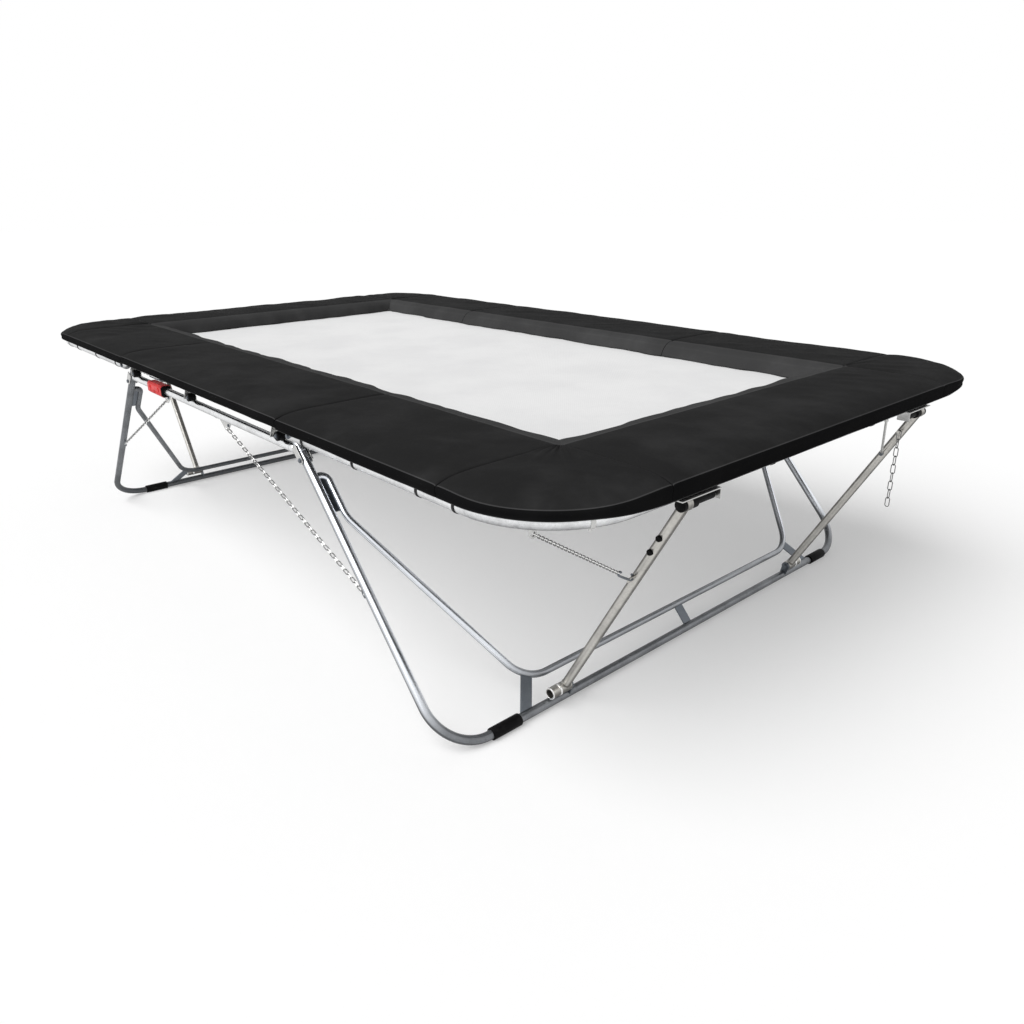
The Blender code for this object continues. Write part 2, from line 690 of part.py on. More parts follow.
def eye_tab(eye, across_axis, up_axis):
    """Square tab with its eye in the middle, welded by its upper edge."""
    outline = [(-EYE_EDGE, -EYE_EDGE), (EYE_EDGE, -EYE_EDGE),
               (EYE_EDGE, EYE_EDGE + WELD), (-EYE_EDGE, EYE_EDGE + WELD)]
    return plate(outline, eye, across_axis, up_axis, PLATE)


def eye_bore(eye, axis):
    reach = Vector(axis).normalized() * PLATE * 2
    return cylinder(eye - reach, eye + reach, EYE_HOLE, BORE_SIDES)


def strut_bracket(side, row):
    """Flat channel under the short side, its inner end turned down, in which the strut's head sits."""
    y = ROWS[row]
    under = BRACKET_TOP - BRACKET_THICK
    outer = STRUT_Y + HEAD_LENGTH / 2 + BRACKET_SPARE
    tab = STRUT_Y - HEAD_LENGTH / 2 - HEAD_STUB_LENGTH - BRACKET_SPARE
    low = BRACKET_TOP - BRACKET_TAB
    outline = [(tab - BRACKET_THICK, low), (tab, low), (tab, under), (outer, under), (outer, BRACKET_TOP),
               (tab - BRACKET_THICK, BRACKET_TOP)]
    return plate([(y * a, u) for a, u in outline], (SIDES[side] * FRAME_X, 0, 0), (0, 1, 0), (0, 0, 1),
                 BRACKET_WIDTH)


def make_end_frame(side):
    x = SIDES[side]
    corners = [(x * HINGE_X, -FRAME_Y, FRAME_HEIGHT), (x * FRAME_X, -FRAME_Y, FRAME_HEIGHT),
               (x * FRAME_X, FRAME_Y, FRAME_HEIGHT), (x * HINGE_X, FRAME_Y, FRAME_HEIGHT)]
    path = rounded_path(corners, (FRAME_CORNER, FRAME_CORNER))
    bar = add_piece("end_tube_" + side, tube(path, FRAME_TUBE), "galvanised")
    cut(bar, [bore(x * HINGE_X, y * FRAME_Y, FRAME_HEIGHT, FRAME_PIN, FRAME_TUBE * 2)
              for y in ROWS.values()])
    tabs, bores = [], []
    for row in ROWS:
        add_piece(f"strut_bracket_{row}_{side}", strut_bracket(side, row), "galvanised")
        eye, goal = corner_eye(side, row), strut_eye(side, row)
        flat = Vector((goal.x - eye.x, goal.y - eye.y, 0))
        hole_axis = flat.cross(Vector((0, 0, 1)))
        tabs.append(eye_tab(eye, flat, (0, 0, 1)))
        bores.append(eye_bore(eye, hole_axis))
        strut_axis = strut_point(side, row, 1) - strut_point(side, row, 0)
        taut_chain(f"strut_chain_{row}_{side}", eye, hole_axis, goal, strut_axis.cross(Vector((0, 1, 0))))
    fuse(bar, tabs)
    cut(bar, bores)


# Leg frames

def leg_point(side, along, y, out=0.0):
    """Point in a leg frame: distance down from the hinge, place across, and height out of its plane."""
    spot = Vector((LEG_HINGE_X, 0, LEG_HINGE_Z)) + LEG_ALONG * along
    spot += Vector((-LEG_ALONG.z, 0, LEG_ALONG.x)) * out
    return Vector((SIDES[side] * spot.x, y, spot.z))


def leg_direction(side):
    return Vector((SIDES[side] * LEG_ALONG.x, 0, LEG_ALONG.z))


def leg_plate(side, outline):
    """A flat bar that lies in the plane of the leg frame, its outline in (across, down) places."""
    return plate(outline, leg_point(side, 0, 0), (0, 1, 0), leg_direction(side), BAR_THICK)


def leg_eye(side, row):
    return leg_point(side, LEG_HOOK, ROWS[row] * LEG_SPREAD, -(LEG_R + EYE_EDGE))


def pivot_lug(side, row):
    """Round-topped lug on the ground tube that carries a strut's pivot pin."""
    low = FOOT_Z - PIVOT.z
    foot = -SIDES[side] * PIVOT_OUT
    outline = arc(LUG / 2, -20, 200, 5) + [(foot - LUG_FOOT / 2, low), (foot + LUG_FOOT / 2, low)]
    centre = (SIDES[side] * PIVOT.x, ROWS[row] * LUG_Y, PIVOT.z)
    return plate(outline, centre, (1, 0, 0), (0, 0, 1), LUG_THICK)


def pivot_pin(side, row):
    x = SIDES[side] * PIVOT.x
    end = STRUT_Y - PIVOT_INBOARD + PIVOT_SLEEVE_LENGTH - PIVOT_PIN_SHORT
    return cylinder((x, ROWS[row] * LUG_Y, PIVOT.z), (x, ROWS[row] * end, PIVOT.z), PIVOT_PIN, 10)


def make_leg_frame(side):
    head = LEG_R - LEG_HEAD
    corners = [leg_point(side, head, -LEG_SPREAD), leg_point(side, LEG_LENGTH, -LEG_SPREAD),
               leg_point(side, LEG_LENGTH, LEG_SPREAD), leg_point(side, head, LEG_SPREAD)]
    outer = add_piece("leg_outer_" + side, tube(rounded_path(corners, (LEG_BEND, LEG_BEND)), LEG_TUBE),
                      "leg_steel")
    outward = leg_point(side, 0, 0, 1) - leg_point(side, 0, 0)
    fuse(outer, [eye_tab(leg_eye(side, row), leg_direction(side), outward) for row in ROWS])
    cut(outer, [eye_bore(leg_eye(side, row), (0, 1, 0)) for row in ROWS])
    cut(outer, [bore(*leg_point(side, 0, y * LEG_SPREAD), LEG_PIN, LEG_TUBE * 2) for y in ROWS.values()])
    fuse(outer, [pivot_lug(side, row) for row in ROWS])
    fuse(outer, [pivot_pin(side, row) for row in ROWS])

    inner_y = LEG_SPREAD - LEG_R - INNER_GAP - INNER_R
    cross = LEG_LENGTH - INNER_CROSS
    places = [(INNER_TOP + INNER_R, inner_y), (INNER_BEND, inner_y), (cross, INNER_CORNER_Y)]
    corners = [leg_point(side, s, -y) for s, y in places]
    corners += [leg_point(side, s, y) for s, y in reversed(places)]
    bends = (INNER_BEND_RADIUS, INNER_RADIUS, INNER_RADIUS, INNER_BEND_RADIUS)
    inner = add_piece("leg_inner_" + side, tube(rounded_path(corners, bends), INNER_TUBE, 8), "leg_steel")
    fuse(inner, leg_bars(side, inner_y, cross))
    for row in ROWS:
        taut_chain(f"leg_chain_{row}_{side}", eye_place(side, row), (0, 1, 0), leg_eye(side, row), (0, 1, 0))
        add_foot_sleeve(side, row)


def leg_bars(side, inner_y, cross):
    """Flat bars from the inner tube to the ground tube, and strips beside the legs at its top."""
    half = BAR_WIDTH / 2
    lower = LEG_LENGTH - LEG_R - SEAT
    upper = cross + INNER_R - WELD
    bars = [leg_plate(side, [(-half, upper), (half, upper), (half, lower), (-half, lower)])]
    # The two outer bars leave the round corner square to the tube, half way round it.
    lean = (math.pi / 2 - math.atan2(inner_y - INNER_CORNER_Y, cross - INNER_BEND)) / 2
    outward = Vector((math.sin(lean), math.cos(lean)))
    sideways = Vector((outward.y, -outward.x))
    bend_centre = Vector((INNER_CORNER_Y - INNER_RADIUS * math.tan(lean), cross - INNER_RADIUS))
    top = bend_centre + outward * (INNER_RADIUS + INNER_R - WELD)
    ends = [top - sideways * half, top + sideways * half]
    outline = ends + [end + outward * (lower - end.y) / outward.y for end in reversed(ends)]
    strip = (inner_y + INNER_R - WELD, LEG_SPREAD - LEG_R - SEAT)
    strip_end = GUSSET_START + GUSSET_LENGTH
    for y in ROWS.values():
        bars.append(leg_plate(side, [(y * a, u) for a, u in outline]))
        bars.append(leg_plate(side, [(y * strip[0], GUSSET_START), (y * strip[1], GUSSET_START),
                                     (y * strip[1], strip_end), (y * strip[0], strip_end)]))
    return bars


def add_foot_sleeve(side, row, sides=16):
    """Rubber sleeve round the ground tube, with the flat that it stands on."""
    angles = [math.tau * (i + 0.5) / sides for i in range(sides)]
    outer = [(math.cos(a) * SLEEVE_OUTER / 2, max(math.sin(a) * SLEEVE_OUTER / 2, -FOOT_Z)) for a in angles]
    bore = (LEG_R + SEAT) / math.cos(math.pi / sides)
    inner = [(math.cos(a) * bore, math.sin(a) * bore) for a in angles]
    bm = bmesh.new()
    rings = []
    for shape, end in ((outer, -1), (outer, 1), (inner, 1), (inner, -1)):
        y = ROWS[row] * SLEEVE_Y + end * SLEEVE_LENGTH / 2
        rings.append([bm.verts.new((SIDES[side] * FOOT_X + u, y, FOOT_Z + v)) for u, v in shape])
    for ring, following in zip(rings, rings[1:] + rings[:1]):
        for i in range(sides):
            j = (i + 1) % sides
            bm.faces.new((ring[i], ring[j], following[j], following[i]))
    add_piece(f"foot_sleeve_{row}_{side}", mesh_from(bm), "rubber")


# Struts

def make_strut(side, row):
    """Strut with its pivot sleeve, head band, stop buffers and chain eye, and its rubber head."""
    y = ROWS[row]
    foot, head = strut_point(side, row, 0), strut_point(side, row, 1)
    direction = (head - foot).normalized()
    strut = add_piece(f"strut_{row}_{side}", cylinder(foot, head - direction * STRUT_END, STRUT_TUBE, 12),
                      "strut_steel")
    sleeve_y = y * (STRUT_Y - PIVOT_INBOARD + PIVOT_SLEEVE_LENGTH / 2)
    fuse(strut, [across(foot.x, sleeve_y, foot.z, PIVOT_SLEEVE, PIVOT_SLEEVE_LENGTH, 10),
                 across(*head, BAND_OUTER, BAND_WIDTH, 12)])
    cut(strut, [bore(foot.x, sleeve_y, foot.z, PIVOT_PIN, PIVOT_SLEEVE_LENGTH * 2),
                across(*head, HEAD_ROLLER + 2 * RUNNING, HEAD_LENGTH * 2)])
    eye = strut_eye(side, row)
    fuse(strut, [eye_tab(eye, direction, (0, -y, 0))])
    cut(strut, [eye_bore(eye, direction.cross(Vector((0, 1, 0))))])
    fuse(strut, [cylinder(strut_point(side, row, share, STRUT_TUBE / 2 - WELD),
                          strut_point(side, row, share, STRUT_TUBE / 2 + BUFFER_OUT), BUFFER, 8)
                 for share in BUFFER_PLACES])
    thick, thin = HEAD_ROLLER / 2, HEAD_STUB / 2
    end, step = HEAD_LENGTH / 2, -HEAD_LENGTH / 2
    stub = step - HEAD_STUB_LENGTH
    profile = [(end, 0.0), (end, thick), (step, thick), (step, thin), (stub, thin), (stub, 0.0)]
    profile = [(y * head.y + along, radius) for along, radius in profile]
    add_piece(f"strut_roller_{row}_{side}", turned(profile, (head.x, 0, head.z), y, 12), "rubber")


def make_hanging_chain():
    """Peg on the far right strut and the loose chain that hangs on it."""
    strut = bpy.data.objects["strut_far_right"]
    root = strut_point("right", "far", PEG_PLACE, -(STRUT_TUBE / 2 - WELD))
    knob = strut_point("right", "far", PEG_PLACE, -(STRUT_TUBE / 2 + PEG_LENGTH - PEG_KNOB_LENGTH))
    end = strut_point("right", "far", PEG_PLACE, -(STRUT_TUBE / 2 + PEG_LENGTH))
    fuse(strut, [cylinder(root, knob.lerp(end, 0.5), PEG, 10)])
    fuse(strut, [cylinder(knob, end, PEG_KNOB, 10)])

    down = Vector((0, 0, -1))
    half = (CHAIN_PITCH + LINK_GRIP) / 2
    hook = strut_point("right", "far", PEG_PLACE, -(STRUT_TUBE / 2 + PEG_LENGTH / 2))
    top = hook - down * (PEG / 2 + CHAIN_WIRE / 4 + SEAT)
    links = []
    for index in range(HANGING_LINKS):
        normal = Vector((0, 1, 0)) if index % 2 == 0 else Vector((1, 0, 0))
        links.append(link(top + down * (half + CHAIN_PITCH * index), down, normal, half))
    add_chain("hanging_chain", links)


def main():
    for existing in list(bpy.data.objects):
        bpy.data.objects.remove(existing)
    make_centre_tubes()
    make_rails()
    make_rail_clamp()
    make_bed()
    make_pads()
    for side in SIDES:
        make_end_frame(side)
        make_leg_frame(side)
        for row in ROWS:
            make_strut(side, row)
    make_hanging_chain()


main()
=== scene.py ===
import math

import bmesh
import bpy
from mathutils import Matrix, Vector, noise
from mathutils.geometry import tessellate_polygon


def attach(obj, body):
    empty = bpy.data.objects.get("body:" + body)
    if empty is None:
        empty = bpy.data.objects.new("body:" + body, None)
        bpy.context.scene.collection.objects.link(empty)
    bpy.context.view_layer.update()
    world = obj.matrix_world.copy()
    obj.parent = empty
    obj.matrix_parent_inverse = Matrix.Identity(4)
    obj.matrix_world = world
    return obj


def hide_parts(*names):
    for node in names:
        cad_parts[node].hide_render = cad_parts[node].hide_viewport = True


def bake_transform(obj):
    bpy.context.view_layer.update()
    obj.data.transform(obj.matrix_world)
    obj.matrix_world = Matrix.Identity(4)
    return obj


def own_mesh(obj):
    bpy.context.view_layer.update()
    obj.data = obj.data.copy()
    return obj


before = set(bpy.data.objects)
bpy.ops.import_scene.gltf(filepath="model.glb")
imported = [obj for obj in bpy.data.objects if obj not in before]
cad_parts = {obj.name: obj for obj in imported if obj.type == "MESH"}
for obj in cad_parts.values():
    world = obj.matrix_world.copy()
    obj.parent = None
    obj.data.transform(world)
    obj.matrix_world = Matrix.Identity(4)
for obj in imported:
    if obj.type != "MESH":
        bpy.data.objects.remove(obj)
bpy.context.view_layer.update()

# Sizes in metres, the same as in the solid model. Right is +X, far is +Y.
plan = {
    "frameX": 2.266, "frameY": 1.376, "centreY": 1.326, "frameZ": 0.995, "frameRadius": 0.024,
    "frameCorner": 0.32, "hingeX": 0.93, "frameBottom": 0.97217,
    "railY": 1.352, "railZ": 0.930, "railRadius": 0.019, "railEnd": 0.886, "railTop": 0.94807,
    "railBottom": 0.91193, "bedTop": 0.989, "padBottom": 1.01813,
}
sides = {"right": 1, "left": -1}
rows = {"near": -1, "far": 1}


# Node trees: sums are written as expressions, any other node comes from Tree.add

class Value:
    def __init__(self, tree, socket):
        self.tree, self.socket = tree, socket

    def out(self, name):
        return Value(self.tree, self.socket.node.outputs[name])

    def sum(self, operation, first, second):
        return self.tree.add("ShaderNodeMath", {"operation": operation}, {0: first, 1: second})

    def __add__(self, other):
        return self.sum("ADD", self, other)

    def __radd__(self, other):
        return self.sum("ADD", other, self)

    def __sub__(self, other):
        return self.sum("SUBTRACT", self, other)

    def __rsub__(self, other):
        return self.sum("SUBTRACT", other, self)

    def __mul__(self, other):
        return self.sum("MULTIPLY", self, other)

    def __rmul__(self, other):
        return self.sum("MULTIPLY", other, self)

    def __gt__(self, other):
        return self.sum("GREATER_THAN", self, other)


class Tree:
    def __init__(self, nodeTree):
        self.nodeTree = nodeTree

    def add(self, kind, settings=None, inputs=None, output=0):
        node = self.nodeTree.nodes.new(kind)
        for key, value in (settings or {}).items():
            if key == "stops":
                ramp = node.color_ramp.elements
                for place, (position, colour) in enumerate(value):
                    stop = ramp[place] if place < 2 else ramp.new(position)
                    stop.position, stop.color = position, colour
            else:
                setattr(node, key, value)
        for key, value in (inputs or {}).items():
            self.feed(node.inputs[key], value)
        return Value(self, node.outputs[output]) if node.outputs else node

    def feed(self, socket, value):
        if isinstance(value, Value):
            self.nodeTree.links.new(value.socket, socket)
        else:
            socket.default_value = value


class Finish(Tree):
    def __init__(self, name, colour, roughness, metallic=0.0, **constants):
        self.material = bpy.data.materials.new(name)
        self.material.use_nodes = True
        super().__init__(self.material.node_tree)
        self.shader = self.nodeTree.nodes["Principled BSDF"]
        self.set(**{"Base Color": (*colour, 1.0), "Roughness": roughness, "Metallic": metallic})
        self.set(**{key.replace("_", " "): value for key, value in constants.items()})
        self.material.diffuse_color = (*colour, 1.0)

    def set(self, **values):
        for key, value in values.items():
            self.feed(self.shader.inputs[key], value)

    def coordinates(self, kind="Object", stretch=(1, 1, 1)):
        place = self.add("ShaderNodeTexCoord", output=kind)
        return self.add("ShaderNodeMapping", inputs={"Vector": place, "Scale": stretch})

    def grain(self, place, scale, detail=3.0, rough=0.5):
        return self.add("ShaderNodeTexNoise", {},
                        {"Vector": place, "Scale": scale, "Detail": detail, "Roughness": rough})

    def remap(self, value, low, high, newLow, newHigh):
        return self.add("ShaderNodeMapRange", {"interpolation_type": "SMOOTHSTEP"},
                        {0: value, 1: low, 2: high, 3: newLow, 4: newHigh})

    def blend(self, amount, first, second):
        first, second = [(*c, 1.0) if isinstance(c, tuple) else c for c in (first, second)]
        return self.add("ShaderNodeMix", {"data_type": "RGBA"}, {0: amount, 6: first, 7: second}, 2)

    def bump(self, height, distance, strength=1.0, over=None):
        inputs = {"Height": height, "Distance": distance, "Strength": strength}
        if over:
            inputs["Normal"] = over
        return self.add("ShaderNodeBump", {}, inputs)


# Finishes

# tubes with drawing lines: the turn round them where painted shade on the side away from the light begins,
# where it is full, and how dark it is;
# low: how much painted shade darkens the steel at the floor; patches: its share of the common spangle and
# dirt
finishes = {
    "frameSteel": {"light": (0.90, 0.91, 0.92), "dark": (0.16, 0.16, 0.165), "smooth": 0.20, "dull": 0.40,
                   "drawnLinesAndShade": (0.20, 0.44, 0.72)},
    "legSteel": {"light": (0.84, 0.87, 0.92), "dark": (0.105, 0.110, 0.116), "smooth": 0.22, "dull": 0.44,
                 "drawnLinesAndShade": (0.13, 0.29, 0.85), "low": 0.80, "patches": 0.35},
    "strutSteel": {"light": (0.62, 0.605, 0.57), "dark": (0.16, 0.155, 0.145), "smooth": 0.30, "dull": 0.50,
                   "drawnLinesAndShade": (0.13, 0.30, 0.75)},
    "plateSteel": {"light": (0.58, 0.58, 0.57), "dark": (0.24, 0.24, 0.24), "smooth": 0.26, "dull": 0.46},
    "barSteel": {"light": (0.15, 0.165, 0.185), "dark": (0.05, 0.055, 0.062), "smooth": 0.34, "dull": 0.50},
    "zinc": {"light": (0.95, 0.95, 0.94), "dark": (0.50, 0.50, 0.50), "smooth": 0.16, "dull": 0.34},
    "darkZinc": {"light": (0.20, 0.20, 0.20), "dark": (0.07, 0.07, 0.07), "smooth": 0.30, "dull": 0.45},
}


def makeSteel(name):
    # galvanised steel: faint spangle and dull patches; tubes have fine drawing lines and painted shade on the
    # side away from the light
    look = finishes[name]
    steel = Finish(name, look["light"], look["smooth"], 1.0)
    place = steel.coordinates()
    clouds = steel.grain(place, 9.0, 4.0, 0.6)
    spangle = steel.add("ShaderNodeTexVoronoi", {"feature": "F1"}, {"Vector": place, "Scale": 160.0}, "Color")
    flake = steel.add("ShaderNodeSeparateColor", {}, {"Color": spangle}, "Red")
    dirt = steel.remap(steel.grain(place, 38.0, 5.0, 0.65), 0.56, 0.74, 0.0, 1.0)
    patches = look.get("patches", 1.0)
    shade = steel.remap(clouds, 0.35, 0.70, 0.0, 0.22 * patches)
    shade = shade + flake * (0.10 * patches) + dirt * (0.16 * patches)
    if "drawnLinesAndShade" in look:
        lines = steel.grain(steel.coordinates("UV", (5.0, 120.0, 1.0)), 1.0, 3.0, 0.6)
        turn = steel.add("ShaderNodeSeparateXYZ", {}, {"Vector": steel.coordinates("UV")}, "Y")
        away = steel.add("ShaderNodeMath", {"operation": "PINGPONG"}, {0: turn, 1: 0.5})
        light, dark, depth = look["drawnLinesAndShade"]
        shade = shade + steel.remap(lines, 0.40, 0.68, 0.0, 0.16 * patches)
        # painted shade: darker the further round the tube from its light side
        shade = shade + steel.remap(away, light, dark, 0.0, depth)
        steel.set(Normal=steel.bump(lines, 0.00012, 0.5))
    else:
        steel.set(Normal=steel.bump(steel.grain(place, 300.0, 2.0), 0.00010, 0.5))
    if "low" in look:
        # painted shade: the steel is darker towards the floor, where the tubes run low
        height = steel.add("ShaderNodeSeparateXYZ", {}, {"Vector": place}, "Z")
        shade = shade + steel.remap(height, 0.05, 0.24, look["low"], 0.0)
    steel.set(**{"Base Color": steel.blend(shade, look["light"], look["dark"]),
                 "Roughness": steel.remap(shade, 0.0, 1.0, look["smooth"], look["dull"])})
    return steel.material


def makeRubber():
    rubber = Finish("rubber", (0.008, 0.008, 0.0085), 0.6, 0.0, Specular_IOR_Level=0.06)
    place = rubber.coordinates()
    dust = rubber.remap(rubber.grain(place, 30.0, 5.0, 0.6), 0.45, 0.75, 0.0, 1.0)
    fine = rubber.grain(place, 900.0, 2.0)
    rubber.set(**{"Base Color": rubber.blend(dust, (0.0050, 0.0050, 0.0054), (0.0150, 0.0150, 0.0155)),
                  "Roughness": rubber.remap(dust, 0.0, 1.0, 0.50, 0.72),
                  "Normal": rubber.bump(fine, 0.0002, 0.5)})
    return rubber.material


def makeRedPaint():
    paint = Finish("redPaint", (0.62, 0.035, 0.035), 0.34, 0.0, Coat_Roughness=0.2, Specular_IOR_Level=0.15)
    place = paint.coordinates()
    patches = paint.remap(paint.grain(place, 26.0, 4.0), 0.38, 0.66, 0.0, 1.0)
    scuffs = paint.remap(paint.grain(paint.coordinates("Object", (30.0, 160.0, 160.0)), 1.0, 4.0, 0.7),
                         0.60, 0.70, 0.0, 1.0)
    colour = paint.blend(patches, (0.68, 0.040, 0.040), (0.52, 0.026, 0.028))
    paint.set(**{"Base Color": paint.blend(scuffs * 0.4, colour, (0.72, 0.17, 0.16)),
                 "Roughness": paint.remap(scuffs, 0.0, 1.0, 0.40, 0.62),
                 "Coat Weight": 0.08 - scuffs * 0.06,
                 "Normal": paint.bump(paint.grain(place, 240.0, 2.0), 0.0002, 0.35)})
    return paint.material


vinyls = {
    "padVinyl": {"tone": (0.0170, 0.0170, 0.0172), "rubbed": (0.0320, 0.0320, 0.0323), "gloss": 0.003},
    # painted shade: the same vinyl darker, for the pads' sides and the seams between them
    "padSkirtShade": {"tone": (0.0060, 0.0060, 0.0063), "rubbed": (0.0100, 0.0100, 0.0103), "gloss": 0.003},
    # painted highlight: the same vinyl lighter, along the creases
    "padPipingSheen": {"tone": (0.0440, 0.0440, 0.0445), "rubbed": (0.0640, 0.0640, 0.0645), "gloss": 0.006},
    "padFlap": {"tone": (0.0430, 0.0430, 0.0435), "rubbed": (0.0600, 0.0600, 0.0605), "gloss": 0.003},
}


def makeVinyl(name):
    # coated cloth of the pads: leather-like grain, soft dull patches, paler where it is rubbed
    look = vinyls[name]
    vinyl = Finish(name, look["tone"], 0.5, 0.0, Specular_IOR_Level=look["gloss"])
    place = vinyl.coordinates()
    pores = vinyl.add("ShaderNodeTexVoronoi", {"feature": "DISTANCE_TO_EDGE"},
                      {"Vector": place, "Scale": 420.0}, "Distance")
    cells = vinyl.remap(pores, 0.0, 0.25, 0.0, 1.0)
    creases = vinyl.grain(vinyl.coordinates("Object", (6.0, 14.0, 6.0)), 1.0, 6.0, 0.62)
    rubbed = vinyl.remap(vinyl.grain(place, 3.2, 5.0, 0.6), 0.42, 0.72, 0.0, 1.0)
    vinyl.set(**{"Base Color": vinyl.blend(rubbed * 0.8 + cells * 0.2, look["tone"], look["rubbed"]),
                 "Roughness": vinyl.remap(rubbed + cells * 0.2, 0.0, 1.2, 0.62, 0.78),
                 "Normal": vinyl.bump(creases, 0.006, 0.40, vinyl.bump(cells, 0.0003, 0.25))})
    return vinyl.material


def makeWebbing():
    # woven bed: flat bands over and under each other with painted shade between them, a stitched border band,
    # faint wear in the middle
    weave = {"band": 0.006, "height": 0.0009, "border": 0.935}
    bed = Finish("wovenBed", (0.80, 0.80, 0.80), 0.62, 0.0, Specular_IOR_Level=0.3)
    place = bed.coordinates()
    axes = bed.add("ShaderNodeSeparateXYZ", {}, {"Vector": place}, "X")
    x, y = axes, axes.out("Y")
    turn = math.pi / weave["band"]
    alongX = bed.add("ShaderNodeMath", {"operation": "SINE"}, {0: x * turn})
    alongY = bed.add("ShaderNodeMath", {"operation": "SINE"}, {0: y * turn})
    height = alongX * alongY * 0.5 + 0.5
    edge = bed.add("ShaderNodeMath", {"operation": "ABSOLUTE"}, {0: y}) > weave["border"]
    soft = bed.remap(bed.grain(place, 2.2, 5.0, 0.55), 0.35, 0.70, 0.0, 1.0)
    fine = bed.remap(bed.grain(place, 60.0, 3.0), 0.3, 0.7, 0.0, 1.0)
    clean = bed.blend(soft * 0.6 + fine * 0.15, (0.80, 0.80, 0.80), (0.72, 0.72, 0.725))
    # painted shade in the low gaps between the woven bands
    gapShade = bed.remap(height, 0.0, 0.35, 1.0, 0.0)
    colour = bed.blend(gapShade * 0.16, clean, (0.45, 0.45, 0.46))
    bed.set(**{"Base Color": bed.blend(edge * 0.35, colour, (0.55, 0.55, 0.56)),
               "Roughness": bed.remap(soft, 0.0, 1.0, 0.58, 0.70),
               "Normal": bed.bump(height, weave["height"], 0.35)})
    return bed.material


def makeStrapCloth():
    strap = Finish("strapCloth", (0.011, 0.011, 0.0115), 0.7, 0.0, Specular_IOR_Level=0.3)
    place = strap.coordinates()
    ribs = strap.add("ShaderNodeTexWave", {"wave_type": "BANDS", "bands_direction": "DIAGONAL"},
                     {"Vector": place, "Scale": 260.0, "Distortion": 0.4})
    strap.set(**{"Base Color": strap.blend(ribs, (0.008, 0.008, 0.0083), (0.020, 0.020, 0.021)),
                 "Roughness": strap.remap(strap.grain(place, 120.0), 0.3, 0.7, 0.6, 0.8),
                 "Normal": strap.bump(ribs, 0.0004, 0.6)})
    return strap.material


looks = {name: makeSteel(name) for name in finishes}
looks.update({name: makeVinyl(name) for name in vinyls})
looks.update(rubber=makeRubber(), redPaint=makeRedPaint())
looks.update(wovenBed=makeWebbing(), strapCloth=makeStrapCloth())
print("finishes made")


# Shapes

def addObject(name, data):
    made = bpy.data.objects.new(name, data)
    bpy.context.scene.collection.objects.link(made)
    return made


def squareTo(direction, light):
    # the direction square to the given one that lies nearest to the light side
    side = Vector(light) - direction * direction.dot(Vector(light))
    return side.normalized() if side.length > 0.05 else direction.orthogonal().normalized()


def circle(centre, normal, other, radius, count):
    turns = [math.tau * k / count for k in range(count)]
    return [centre + (normal * math.cos(a) + other * math.sin(a)) * radius for a in turns]


def quad(first, second, k, count):
    # the face between two rings of count points, from place k to the next one round
    j = (k + 1) % count
    return [first * count + k, first * count + j, second * count + j, second * count + k]


def caps(rings, count):
    # the faces that close both ends of a row of rings
    return [list(range(count))[::-1], list(range((rings - 1) * count, rings * count))]


def mapQuad(low, high, left, right):
    return [(low, left), (low, right), (high, right), (high, left)]


